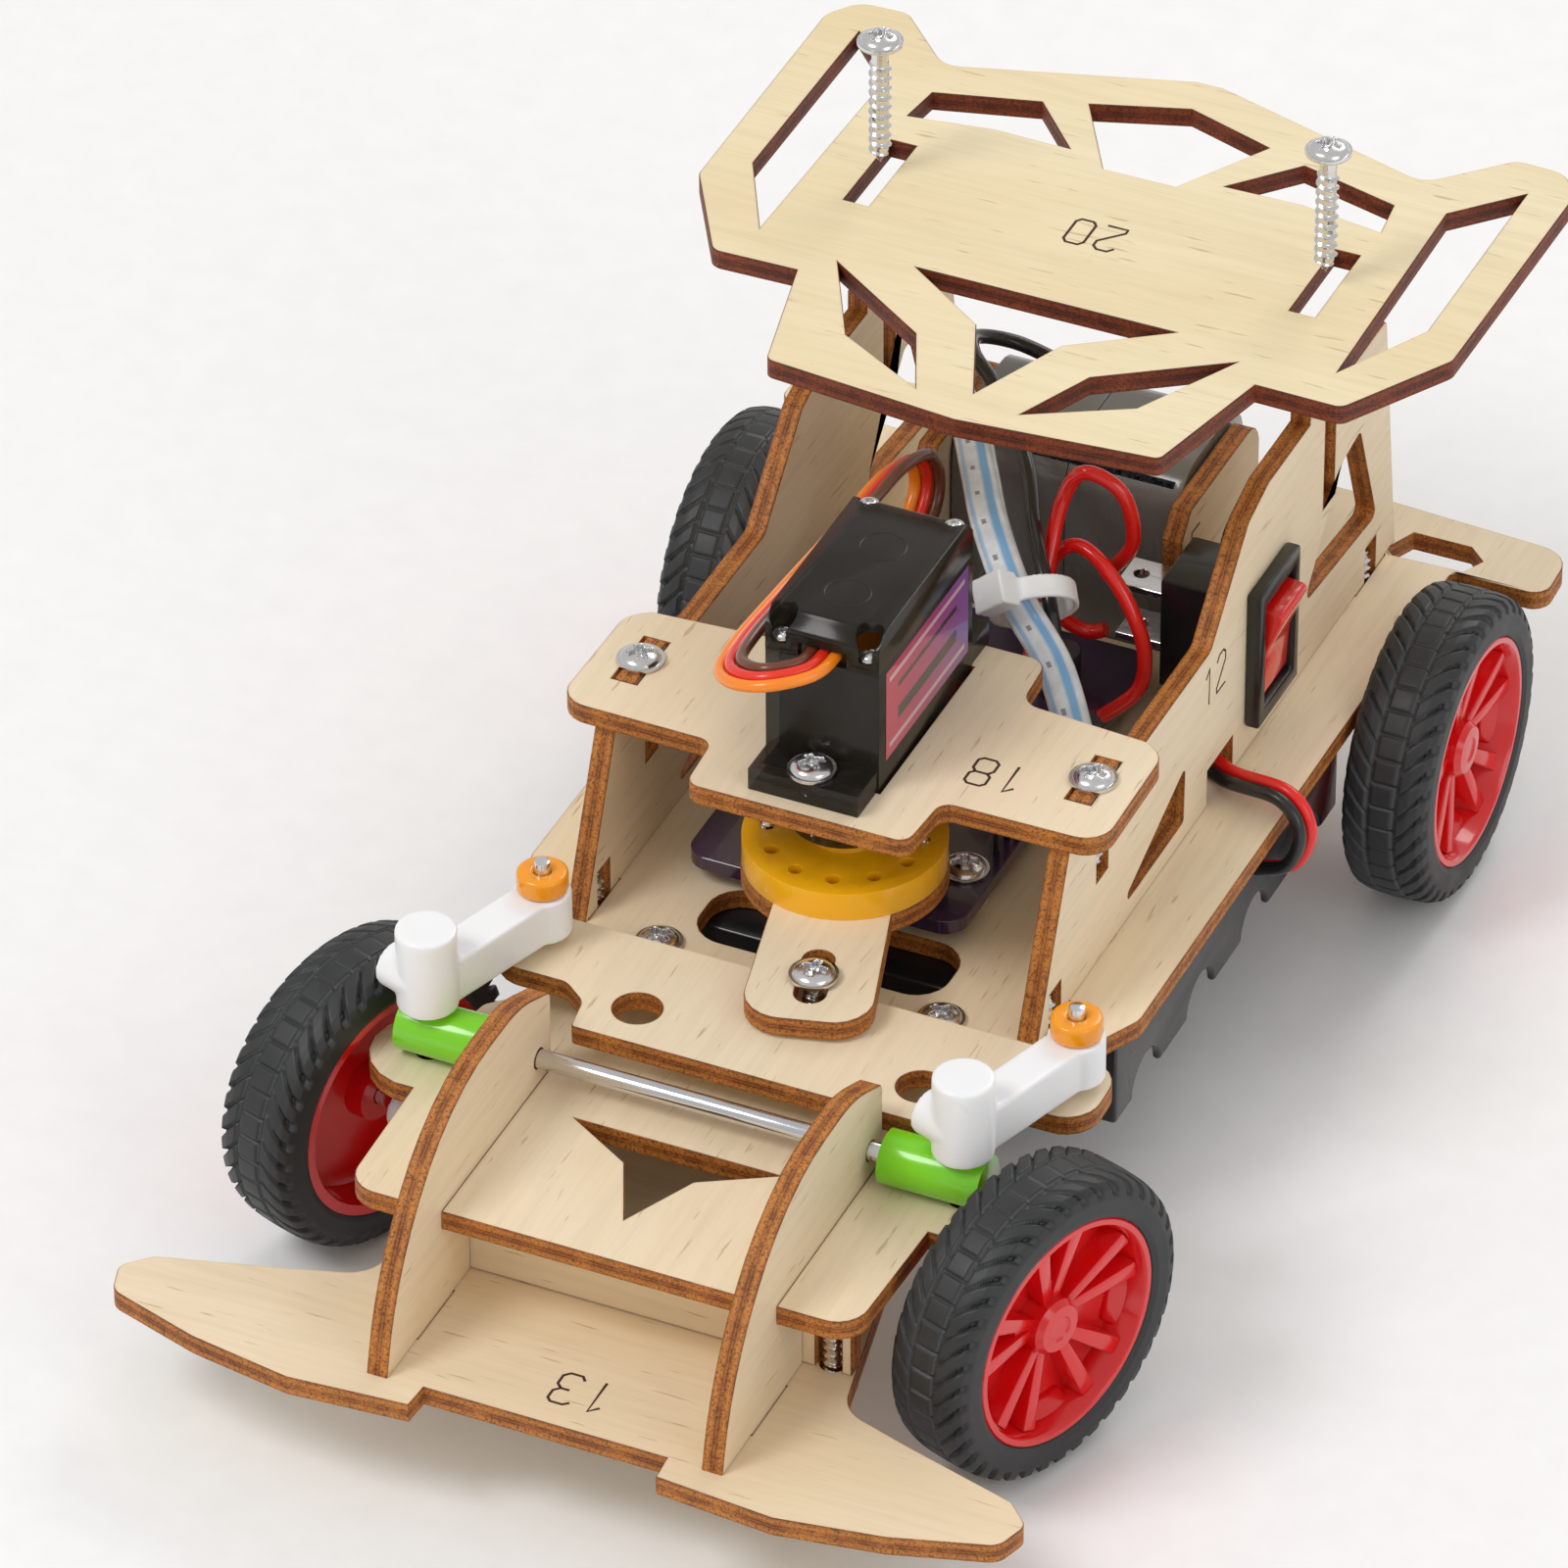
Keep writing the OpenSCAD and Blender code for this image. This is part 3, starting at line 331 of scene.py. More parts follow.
def clear_sleeve():
    """Milky sleeve with blue tracer stripes along it and small dashes."""
    s = Shader("clear_sleeve")
    around = s.attribute("around")
    along = s.attribute("along")
    milk = s.ramp(s.noise(500, detail=3),
                  [(0.3, (0.62, 0.66, 0.70)), (0.8, (0.88, 0.90, 0.92))])
    stripes = s.ramp(around, [(0.0, 0.0), (0.16, 0.0), (0.19, 0.85), (0.24, 0.85), (0.27, 0.0),
                              (0.36, 0.0), (0.38, 0.55), (0.41, 0.55), (0.43, 0.0)])
    body = s.mix(stripes, milk, (0.10, 0.38, 0.72))
    along_dash = s.math("FRACT", s.math("MULTIPLY", along, SLEEVE_DASHES))
    dash = s.math("GREATER_THAN", along_dash, 0.86)
    band = s.ramp(around, [(0.29, 0.0), (0.30, 0.7), (0.33, 0.7), (0.34, 0.0)])
    body = s.mix(s.math("MULTIPLY", dash, band), body, (0.06, 0.06, 0.07))
    s.colour(body)
    s.roughness(0.16)
    s.bsdf.inputs["Coat Weight"].default_value = 0.6
    s.bsdf.inputs["Coat Roughness"].default_value = 0.06
    return s.material


def servo_label():
    """Plain label: two-tone field, thin frame lines and two bars, with no lettering."""
    s = Shader("servo_label")
    u = s.attribute("u")
    v = s.attribute("v")
    field = s.ramp(u, [(0.0, (0.52, 0.03, 0.08)), (0.45, (0.42, 0.05, 0.16)),
                       (1.0, (0.20, 0.10, 0.34))])
    frame_v = s.ramp(v, [(0.0, 0.0), (0.09, 0.0), (0.11, 1.0), (0.14, 1.0), (0.16, 0.0),
                         (0.84, 0.0), (0.86, 1.0), (0.89, 1.0), (0.91, 0.0)])
    bars = s.ramp(v, [(0.30, 0.0), (0.31, 1.0), (0.44, 1.0), (0.45, 0.0), (0.66, 0.0), (0.67, 1.0),
                      (0.72, 1.0), (0.73, 0.0)])
    span = s.ramp(u, [(0.14, 0.0), (0.15, 1.0), (0.85, 1.0), (0.86, 0.0)])
    edge = s.ramp(u, [(0.04, 0.0), (0.05, 1.0), (0.95, 1.0), (0.96, 0.0)])
    drawn = s.mix(s.math("MULTIPLY", frame_v, edge), field, (0.62, 0.42, 0.46))
    drawn = s.mix(s.math("MULTIPLY", bars, span), drawn, (0.035, 0.03, 0.035))
    s.colour(drawn)
    s.roughness(s.ramp(s.noise(500), [(0.3, 0.14), (0.8, 0.26)]))
    s.bsdf.inputs["Coat Weight"].default_value = 0.5
    return s.material


TRACE_SCALE = 330


def circuit_board_skin():
    """Solder mask with a faint grid of paler trace lines and darker patches."""
    s = Shader("circuit_board_skin")
    grid = s.node("ShaderNodeTexBrick")
    mapping = s.node("ShaderNodeMapping")
    s.put(mapping, "Vector", s.coordinates)
    s.put(mapping, "Scale", (TRACE_SCALE,) * 3)
    s.put(grid, "Vector", mapping.outputs["Vector"])
    s.put(grid, "Color1", (0.030, 0.012, 0.040))
    s.put(grid, "Color2", (0.042, 0.016, 0.055))
    s.put(grid, "Mortar", (0.075, 0.035, 0.085))
    s.put(grid, "Mortar Size", 0.03)
    patches = s.ramp(s.noise(300), [(0.4, 0.0), (0.8, 0.6)])
    s.colour(s.mix(patches, grid.outputs["Color"], (0.02, 0.01, 0.028)))
    s.roughness(0.22)
    s.bsdf.inputs["Coat Weight"].default_value = 0.6
    return s.material


# ---- mesh helpers ------------------------------------------------------------

UNMOVED = Matrix.Identity(4)
WELD_DISTANCE = 2e-6
FLAT_ANGLE = math.radians(0.6)
CORNER_ANGLE = 28


def add_piece(name, mesh, node_or_body, material=None, slot=None, replaces=()):
    """Links a mesh as a piece that rides with a CAD node's body."""
    piece = bpy.data.objects.new(name, mesh)
    bpy.context.scene.collection.objects.link(piece)
    if material is not None:
        mesh.materials.clear()
        mesh.materials.append(material)
    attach(piece, BODY_OF.get(node_or_body, node_or_body))
    if replaces:
        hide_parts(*replaces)
    slot = slot or SLOT_OF.get(node_or_body)
    return piece


def welded(node):
    """The CAD node's mesh with shared corners and whole flat faces."""
    bm = bmesh.new()
    bm.from_mesh(frame["nodes"][node].data)
    bmesh.ops.remove_doubles(bm, verts=bm.verts, dist=WELD_DISTANCE)
    bmesh.ops.dissolve_limit(bm, angle_limit=FLAT_ANGLE, verts=bm.verts, edges=bm.edges)
    bm.normal_update()
    return bm


def settled(bm, name):
    """Mesh from a bmesh that came from a CAD node, without the imported corner normals."""
    mesh = bpy.data.meshes.new(name)
    bm.to_mesh(mesh)
    bm.free()
    if "custom_normal" in mesh.attributes:
        mesh.attributes.remove(mesh.attributes["custom_normal"])
    return mesh


def sharp_edges(bm, angle):
    """Edges between two faces that turn by more than the angle, in degrees."""
    limit = math.radians(angle)
    return [e for e in bm.edges if len(e.link_faces) == 2 and e.calc_face_angle(0) > limit]


def shade(mesh, angle=32):
    """Smooth shading with hard edges kept above the angle, in degrees."""
    mesh.shade_smooth()
    mesh.set_sharp_from_angle(angle=math.radians(angle))


def softened(node, width, material, segments=2):
    """The CAD node again, its corners rounded by width."""
    bm = welded(node)
    bmesh.ops.bevel(bm, geom=sharp_edges(bm, CORNER_ANGLE), offset=width, segments=segments,
                    profile=0.5, affect="EDGES", clamp_overlap=True)
    mesh = settled(bm, node + "_soft")
    shade(mesh)
    return add_piece(node + "_moulded", mesh, node, material, replaces=[node])


def blended(node, voxel, rounds, material):
    """The CAD node as one soft casting: remeshed, then smoothed so that its corners round."""
    mesh = frame["nodes"][node].data.copy()
    mesh.name = node + "_cast"
    piece = add_piece(node + "_cast", mesh, node, material, replaces=[node])
    remesh = piece.modifiers.new("remesh", "REMESH")
    remesh.mode = "VOXEL"
    remesh.voxel_size = voxel
    remesh.use_smooth_shade = True
    smooth = piece.modifiers.new("smooth", "SMOOTH")
    smooth.iterations = rounds
    smooth.factor = 0.6
    return piece


def revolve(profile, steps, mesh_name):
    """Mesh turned about Z from (radius, height) points, open where an end is off the axis."""
    bm = bmesh.new()
    rings = []
    for r, z in profile:
        if r < 1e-7:
            rings.append([bm.verts.new((0, 0, z))])
        else:
            rings.append([bm.verts.new((r * math.cos(a), r * math.sin(a), z))
                          for a in (2 * math.pi * k / steps for k in range(steps))])
    for a, b in zip(rings, rings[1:]):
        for k in range(steps):
            corners = [a[k % len(a)], a[(k + 1) % len(a)], b[(k + 1) % len(b)], b[k % len(b)]]
            corners = list(dict.fromkeys(corners))
            if len(corners) > 2:
                bm.faces.new(corners)
    bmesh.ops.recalc_face_normals(bm, faces=bm.faces)
    mesh = bpy.data.meshes.new(mesh_name)
    bm.to_mesh(mesh)
    bm.free()
    return mesh


def grid_mesh(points, name, closed_u=True, closed_v=False):
    """Mesh from a (rows, columns, 3) array of points; u runs along the columns."""
    rows, columns, _ = points.shape
    faces = []
    for i in range(rows if closed_v else rows - 1):
        for k in range(columns if closed_u else columns - 1):
            a, b = i, (i + 1) % rows
            c, d = k, (k + 1) % columns
            faces.append((a * columns + c, a * columns + d, b * columns + d, b * columns + c))
    mesh = bpy.data.meshes.new(name)
    mesh.from_pydata(points.reshape(-1, 3).tolist(), [], faces)
    mesh.update()
    return mesh


def add_attribute(mesh, name, values):
    """A number for each point, which a material reads by name."""
    made = mesh.attributes.new(name, "FLOAT", "POINT")
    made.data.foreach_set("value", np.asarray(values, np.float32).ravel())


def joined(meshes, name):
    """One mesh from several (mesh, matrix) pairs."""
    bm = bmesh.new()
    for mesh, matrix in meshes:
        part = mesh.copy()
        part.transform(matrix)
        bm.from_mesh(part)
        bpy.data.meshes.remove(part)
    mesh = bpy.data.meshes.new(name)
    bm.to_mesh(mesh)
    bm.free()
    return mesh


def islands(node):
    """(low, high) corners of each separate solid in a CAD node."""
    bm = welded(node)
    found = []
    left = set(bm.verts)
    while left:
        group = [left.pop()]
        for v in group:
            for e in v.link_edges:
                other = e.other_vert(v)
                if other in left:
                    left.remove(other)
                    group.append(other)
        co = np.array([v.co for v in group])
        found.append((Vector(co.min(0)), Vector(co.max(0))))
    bm.free()
    return sorted(found, key=lambda b: tuple(round(c, 5) for c in b[0]))


def along_z(direction):
    """Rotation that takes +Z to the direction."""
    return Vector(direction).to_track_quat("Z", "Y").to_matrix().to_4x4()


# ---- plywood -----------------------------------------------------------------

CHAR_WIDTH = 0.34 * MM
ARRIS = 0.09 * MM
FACE, EDGE = 0, 1


def ply_sheet(node, axis, face_skin, edge_skin):
    """A plywood sheet with toasted outlines; axis is the index of the sheet's normal."""
    bm = welded(node)
    char = bm.verts.layers.float.new("char")
    across = bm.verts.layers.float.new("across")
    flat = [f for f in bm.faces if abs(f.normal[axis]) > 0.99]
    for f in bm.faces:
        f.material_index = EDGE
    for f in flat:
        f.material_index = FACE
    bmesh.ops.inset_region(bm, faces=flat, thickness=CHAR_WIDTH, depth=0, use_boundary=True,
                           use_even_offset=True)
    for v in bm.verts:
        v[char] = 1.0
    for f in flat:
        for v in f.verts:
            v[char] = 0.0
    for f in bm.faces:
        if abs(f.normal[axis]) > 0.99:
            f.material_index = FACE
            for v in f.verts:
                v[across] = 1.0 if f.normal[axis] > 0 else 0.0
    arris = [e for e in bm.edges if len(e.link_faces) == 2
             and {f.material_index for f in e.link_faces} == {FACE, EDGE}]
    bmesh.ops.bevel(bm, geom=arris, offset=ARRIS, segments=1, profile=0.5, affect="EDGES",
                    material=EDGE, clamp_overlap=True)
    mesh = settled(bm, node + "_ply")
    mesh.shade_flat()
    mesh.materials.append(face_skin)
    mesh.materials.append(edge_skin)
    return add_piece(node + "_ply", mesh, node, replaces=[node])


PALE = (0.87, 0.735, 0.535)
WARM = (0.82, 0.65, 0.43)
ALONG_X = (0.1, 1, 1)
ALONG_Y = (1, 0.1, 1)


def plywood():
    across_car = ply_face("ply_face_across", PALE, WARM, ALONG_X)
    along_car = ply_face("ply_face_along", PALE, WARM, ALONG_Y)
    wing_face = ply_face("ply_face_wing", (0.86, 0.74, 0.49), (0.80, 0.65, 0.39), ALONG_X)
    edge = burnt_edge("ply_edge", (0.54, 0.20, 0.032), (0.38, 0.115, 0.014),
                      (0.12, 0.026, 0.005))
    dark_edge = burnt_edge("wing_edge", (0.25, 0.048, 0.010), (0.16, 0.026, 0.007),
                           (0.045, 0.008, 0.003))
    for node in ("base_plate", "servo_plate", "tie_bar", "servo_arm"):
        ply_sheet(node, 2, along_car, edge)
    ply_sheet("front_wing_plate", 2, across_car, edge)
    ply_sheet("rear_wing", 2, wing_face, dark_edge)
    for node in ("nose_fins", "side_panel_left", "side_panel_right", "motor_brackets"):
        ply_sheet(node, 0, along_car, edge)
    ply_sheet("nose_bulkheads", 1, across_car, edge)


# Strokes of each digit, one wide and two high.
DIGITS = {
    "0": [[(0.2, 0), (0.8, 0), (1, 0.25), (1, 1.75), (0.8, 2), (0.2, 2), (0, 1.75), (0, 0.25),
           (0.2, 0)]],
    "1": [[(0.2, 1.6), (0.6, 2), (0.6, 0)]],
    "2": [[(0, 1.7), (0.25, 2), (0.75, 2), (1, 1.75), (1, 1.35), (0, 0.3), (0, 0), (1, 0)]],
    "3": [[(0, 1.8), (0.25, 2), (0.8, 2), (1, 1.8), (1, 1.3), (0.75, 1.05), (0.35, 1.05)],
          [(0.75, 1.05), (1, 0.8), (1, 0.25), (0.75, 0), (0.2, 0), (0, 0.25)]],
    "5": [[(1, 2), (0, 2), (0, 1.15), (0.7, 1.15), (1, 0.9), (1, 0.25), (0.75, 0), (0.2, 0),
           (0, 0.2)]],
    "8": [[(0.2, 1.05), (0.8, 1.05), (1, 1.25), (1, 1.8), (0.8, 2), (0.2, 2), (0, 1.8), (0, 1.25),
           (0.2, 1.05)],
          [(0.2, 1.05), (0, 0.8), (0, 0.2), (0.2, 0), (0.8, 0), (1, 0.2), (1, 0.8), (0.8, 1.05)]],
}
STROKE_RADIUS = 0.26 * MM
STROKE_SINK = 0.18 * MM


def numeral(text, node, centre, right, up, size):
    """Laser-engraved number: thin charred strokes almost flush with the wood."""
    curve = bpy.data.curves.new("mark_" + text, "CURVE")
    curve.dimensions = "3D"
    curve.bevel_depth = STROKE_RADIUS
    curve.bevel_resolution = 1
    right, up = Vector(right), Vector(up)
    sink = right.cross(up) * STROKE_SINK
    width = size * 0.5
    start = -(len(text) - 1) / 2 * width * 1.5 - width / 2
    for index, digit in enumerate(text):
        for stroke in DIGITS[digit]:
            spline = curve.splines.new("POLY")
            spline.points.add(len(stroke) - 1)
            for point, (x, y) in zip(spline.points, stroke):
                shift = start + index * width * 1.5 + x * width
                place = Vector(centre) - sink + right * shift + up * (y / 2 - 0.5) * size
                point.co = (*place, 1)
    piece = bpy.data.objects.new("engraved_" + text, curve)
    bpy.context.scene.collection.objects.link(piece)
    curve.materials.append(plain("engraving_" + text, (0.055, 0.018, 0.008), 0.8))
    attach(piece, BODY_OF[node])


def numerals():
    """The part numbers, each lying on the face of its sheet."""
    to_front, to_back = (0, -1, 0), (0, 1, 0)
    to_left = (-1, 0, 0)
    to_top = (0, 0, 1)
    nose_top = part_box("front_wing_plate")[1].z
    servo_low, servo_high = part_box("servo_plate")
    wing_low, wing_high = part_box("rear_wing")
    panel_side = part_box("side_panel_right")[1].x
    bracket_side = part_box("motor_brackets")[1].x
    numeral("13", "front_wing_plate", (1.5 * MM, -74 * MM, nose_top), to_left, to_front,
            4.6 * MM)
    numeral("18", "servo_plate", (15.6 * MM, servo_low.y + 13.6 * MM, servo_high.z), to_left,
            to_front, 4.4 * MM)
    numeral("20", "rear_wing", (0, wing_low.y + 35.6 * MM, wing_high.z), to_left, to_front,
            4.4 * MM)
    numeral("12", "side_panel_right", (panel_side, 24.6 * MM, 40.5 * MM), to_back, to_top,
            4.4 * MM)
    numeral("5", "motor_brackets", (bracket_side, 44.6 * MM, 41 * MM), to_back, to_top, 4 * MM)


# ---- screws ------------------------------------------------------------------

HEAD_FLANGE = 0.42 * MM
THREAD_DEPTH = 0.32 * MM
TIP_LENGTH = 1.8 * MM
SPIN_STEP = 37  # degrees from one screw's recess to the next


def smooth_step(low, high, x):
    """0 below low, 1 above high, and a smooth change between them."""
    t = np.clip((x - low) / (high - low), 0, 1)
    return t * t * (3 - 2 * t)


def head_mesh(radius, height, flange, name):
    """Domed screw head, seated on z = 0, with a cross recess."""
    steps, rings = 96, 40
    angle = np.linspace(0, 2 * np.pi, steps, endpoint=False)
    r = radius * np.concatenate([np.linspace(0.004, 0.97, rings), [0.995, 1.0, 1.0, 0.97]])
    dome = flange + (height - flange) * np.sqrt(np.clip(1 - (r / (0.86 * radius)) ** 2, 0, 1))
    dome[-4:] = [flange, flange * 0.85, flange * 0.25, 0]
    x = r[:, None] * np.cos(angle)
    y = r[:, None] * np.sin(angle)
    arm, wing = 0.15 * radius, 0.56 * radius
    cross = np.zeros_like(x)
    for a, b in ((x, y), (y, x)):
        cross = np.maximum(cross, (1 - smooth_step(arm * 0.7, arm * 1.3, abs(a)))
                           * (1 - smooth_step(wing * 0.8, wing, abs(b))))
    cross = np.maximum(cross, 1 - smooth_step(0.12 * radius, 0.3 * radius, np.hypot(x, y)))
    z = dome[:, None] - cross * 0.75 * height
    z[-4:] = dome[-4:, None]
    return grid_mesh(np.stack([x, y, z], -1), name)


def thread_mesh(length, radius, depth, pitch, tip, name, plain_top):
    """Threaded shank from z = 0 down to its point at -length."""
    steps = 40
    rows = max(30, int(length / pitch * 14))
    angle = np.linspace(0, 2 * np.pi, steps, endpoint=False)
    z = np.linspace(0, -length, rows)[:, None]
    turn = (z / pitch + angle / (2 * np.pi)) % 1.0
    crest = np.clip(1 - np.abs(turn - 0.5) * 4.6, 0, 1)
    taper = smooth_step(0, tip, length + z)
    fade = smooth_step(plain_top, plain_top + pitch, -z)
    r = (radius - depth) * (0.08 + 0.92 * taper) + depth * crest * fade * (0.25 + 0.75 * taper)
    x = r * np.cos(angle)
    y = r * np.sin(angle)
    return grid_mesh(np.stack([x, y, z + 0 * x], -1), name)


def screw_mesh(length, head_radius, head_height, shank_radius, name, pitch=0.95 * MM,
               plain_top=0.0):
    """Screw pointing down, its head seated on z = 0."""
    head = head_mesh(head_radius, head_height, HEAD_FLANGE, name + "_head")
    shank = thread_mesh(length, shank_radius, THREAD_DEPTH, pitch, TIP_LENGTH, name + "_shank",
                        plain_top)
    mesh = joined([(head, UNMOVED), (shank, UNMOVED)], name)
    shade(mesh, 40)
    return mesh


def small_screws(node, head_radius, head_height, shank_radius):
    """Every screw of a node, each on the axis of its CAD solid."""
    parts = []
    points = [v.co for v in frame["nodes"][node].data.vertices]
    for low, high in islands(node):
        centre = (low + high) / 2
        near = [p for p in points
                if all(a - 1e-6 <= c <= b + 1e-6 for a, c, b in zip(low, p, high))]
        rim = (high.x - low.x) * 0.47
        wide = [p.z for p in near if math.hypot(p.x - centre.x, p.y - centre.y) > rim]
        head_up = sum(wide) / len(wide) > centre.z
        length = high.z - low.z - head_height
        spin = SPIN_STEP * len(parts)
        mesh = screw_mesh(length, head_radius, head_height, shank_radius, f"{node}_{len(parts)}")
        seat_z = high.z - head_height if head_up else low.z + head_height
        seat = Vector((centre.x, centre.y, seat_z))
        turn = Matrix.Rotation(math.radians(spin), 4, "Z")
        flip = UNMOVED if head_up else Matrix.Rotation(math.pi, 4, "X")
        parts.append((mesh, Matrix.Translation(seat) @ flip @ turn))
    mesh = joined(parts, node + "_detail")
    shade(mesh, 40)
    return mesh


def screws():
    bright = metal("zinc_plate", (0.80, 0.80, 0.81), 0.2)
    mesh = small_screws("chassis_screws", 2.45 * MM, 1.3 * MM, 1.1 * MM)
    add_piece("chassis_screws_detail", mesh, "chassis_screws", bright,
              replaces=["chassis_screws"])
    low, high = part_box("tie_bar_screw")
    head_height = 1.2 * MM
    mesh = screw_mesh(high.z - low.z - head_height, 2.5 * MM, head_height, 1.08 * MM, "tie_screw")
    middle_x, middle_y = (low.x + high.x) / 2, (low.y + high.y) / 2
    mesh.transform(Matrix.Translation((middle_x, middle_y, high.z - head_height)))
    add_piece("tie_bar_screw_detail", mesh, "tie_bar_screw", bright, replaces=["tie_bar_screw"])
    for side in ("left", "right"):
        node = "wing_screw_" + side
        low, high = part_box(node)
        centre = (low + high) / 2
        head_height = 1.3 * MM
        length = high.z - low.z - head_height - 0.3 * MM
        mesh = screw_mesh(length, 2.4 * MM, head_height, 1.22 * MM, node, pitch=1.15 * MM,
                          plain_top=1.6 * MM)
        mesh.transform(Matrix.Translation((centre.x, centre.y, high.z - head_height)))
        add_piece(node + "_detail", mesh, node, bright, replaces=[node])


# ---- wheels ------------------------------------------------------------------

RIM_RADIUS = 12.4 * MM
TREAD_PITCHES = 40
COLUMNS_PER_PITCH = 22
PROFILE_ROWS = 84
GROOVE = 0.42 * MM
CENTRE_BAND = 1.45 * MM
BEAD_INSET = 0.25 * MM
SPOKE_PAIRS = 5
SPOKE_FLOOR = 0.45 * MM


def tyre_mesh(radius, width, rim):
    """Tyre about Z with a centre row of blocks and slanted shoulder blocks."""
    half = width / 2
    knots = [(rim, -half + BEAD_INSET), (rim + 0.5 * MM, -half + 0.02 * MM),
             (radius - 2.1 * MM, -half + 0.05 * MM), (radius - 1.1 * MM, -half + 0.3 * MM),
             (radius - 0.45 * MM, -half + 0.85 * MM), (radius - 0.12 * MM, -half + 1.9 * MM),
             (radius - 0.02 * MM, -half + 3.2 * MM), (radius, 0)]
    knots = np.array(knots + [(r, -s) for r, s in reversed(knots[:-1])])
    t = np.concatenate([[0], np.cumsum(np.hypot(*np.diff(knots, axis=0).T))])
    fine = np.linspace(0, t[-1], PROFILE_ROWS)
    r = np.interp(fine, t, knots[:, 0])
    s = np.interp(fine, t, knots[:, 1])
    normal = np.stack([np.gradient(s, fine), -np.gradient(r, fine)], 1)
    theta = np.linspace(0, 2 * np.pi, TREAD_PITCHES * COLUMNS_PER_PITCH, endpoint=False)
    pitch = 2 * math.pi * radius / TREAD_PITCHES
    offset = np.abs(s)[:, None]
    phase = theta[None, :] * TREAD_PITCHES / (2 * np.pi)

    def groove(x, wide):
        gap = np.abs(x - np.round(x)) * pitch
        return 1 - smooth_step(wide * 0.28, wide * 0.62, gap)

    centre = groove(phase, GROOVE) * (offset < CENTRE_BAND)
    slant = phase + 0.5 + 1.15 * (offset - CENTRE_BAND) / pitch
    widening = 0.32 * np.clip(offset - 2.6 * MM, 0, 1)
    side = groove(slant, GROOVE + widening) * (offset >= CENTRE_BAND)
    ring = 1 - smooth_step(0.1 * MM, 0.26 * MM, np.abs(offset - CENTRE_BAND))
    pattern = np.maximum(np.maximum(centre, side), ring + 0 * phase)
    reach = smooth_step(radius - 1.9 * MM, radius - 0.9 * MM, r)[:, None]
    depth = pattern * reach * (0.5 * MM + 0.35 * MM * smooth_step(2.6 * MM, 4.2 * MM, offset))
    rr = r[:, None] - normal[:, 0:1] * depth
    ss = s[:, None] - normal[:, 1:2] * depth
    points = np.stack([rr * np.cos(theta), rr * np.sin(theta), ss + 0 * theta], -1)
    bead = half - BEAD_INSET + 0 * theta
    seat = np.stack([rim * np.cos(theta), rim * np.sin(theta), bead], -1)
    mesh = grid_mesh(np.concatenate([points, seat[None]]), "tyre", closed_v=True)
    add_attribute(mesh, "groove", np.concatenate([pattern * reach, 0 * theta[None, :]]))
    mesh.shade_smooth()
    return mesh


def spoke_block(angle_in, angle_out, r_in, r_out, half_in, half_out, z_in, z_out):
    """Tapered spoke between two radii; angles in degrees, its top slopes from z_in to z_out."""
    corners = []
    for r, a, half, top in ((r_in, angle_in, half_in, z_in), (r_out, angle_out, half_out, z_out)):
        a = math.radians(a)
        along = Vector((math.cos(a), math.sin(a), 0))
        side = Vector((-math.sin(a), math.cos(a), 0))
        for sign in (-1, 1):
            for z in (SPOKE_FLOOR, top):
                corners.append(along * r + side * sign * half + Vector((0, 0, z)))
    faces = [(0, 1, 3, 2), (4, 6, 7, 5), (0, 4, 5, 1), (2, 3, 7, 6), (1, 5, 7, 3), (0, 2, 6, 4)]
    mesh = bpy.data.meshes.new("spoke")
    mesh.from_pydata(corners, [], faces)
    bm = bmesh.new()
    bm.from_mesh(mesh)
    bmesh.ops.recalc_face_normals(bm, faces=bm.faces)
    top = [e for e in bm.edges if any(v.co.z > SPOKE_FLOOR + 0.2 * MM for v in e.verts)]
    bmesh.ops.bevel(bm, geom=top, offset=0.28 * MM, segments=2, profile=0.5, affect="EDGES")
    bm.to_mesh(mesh)
    bm.free()
    return mesh


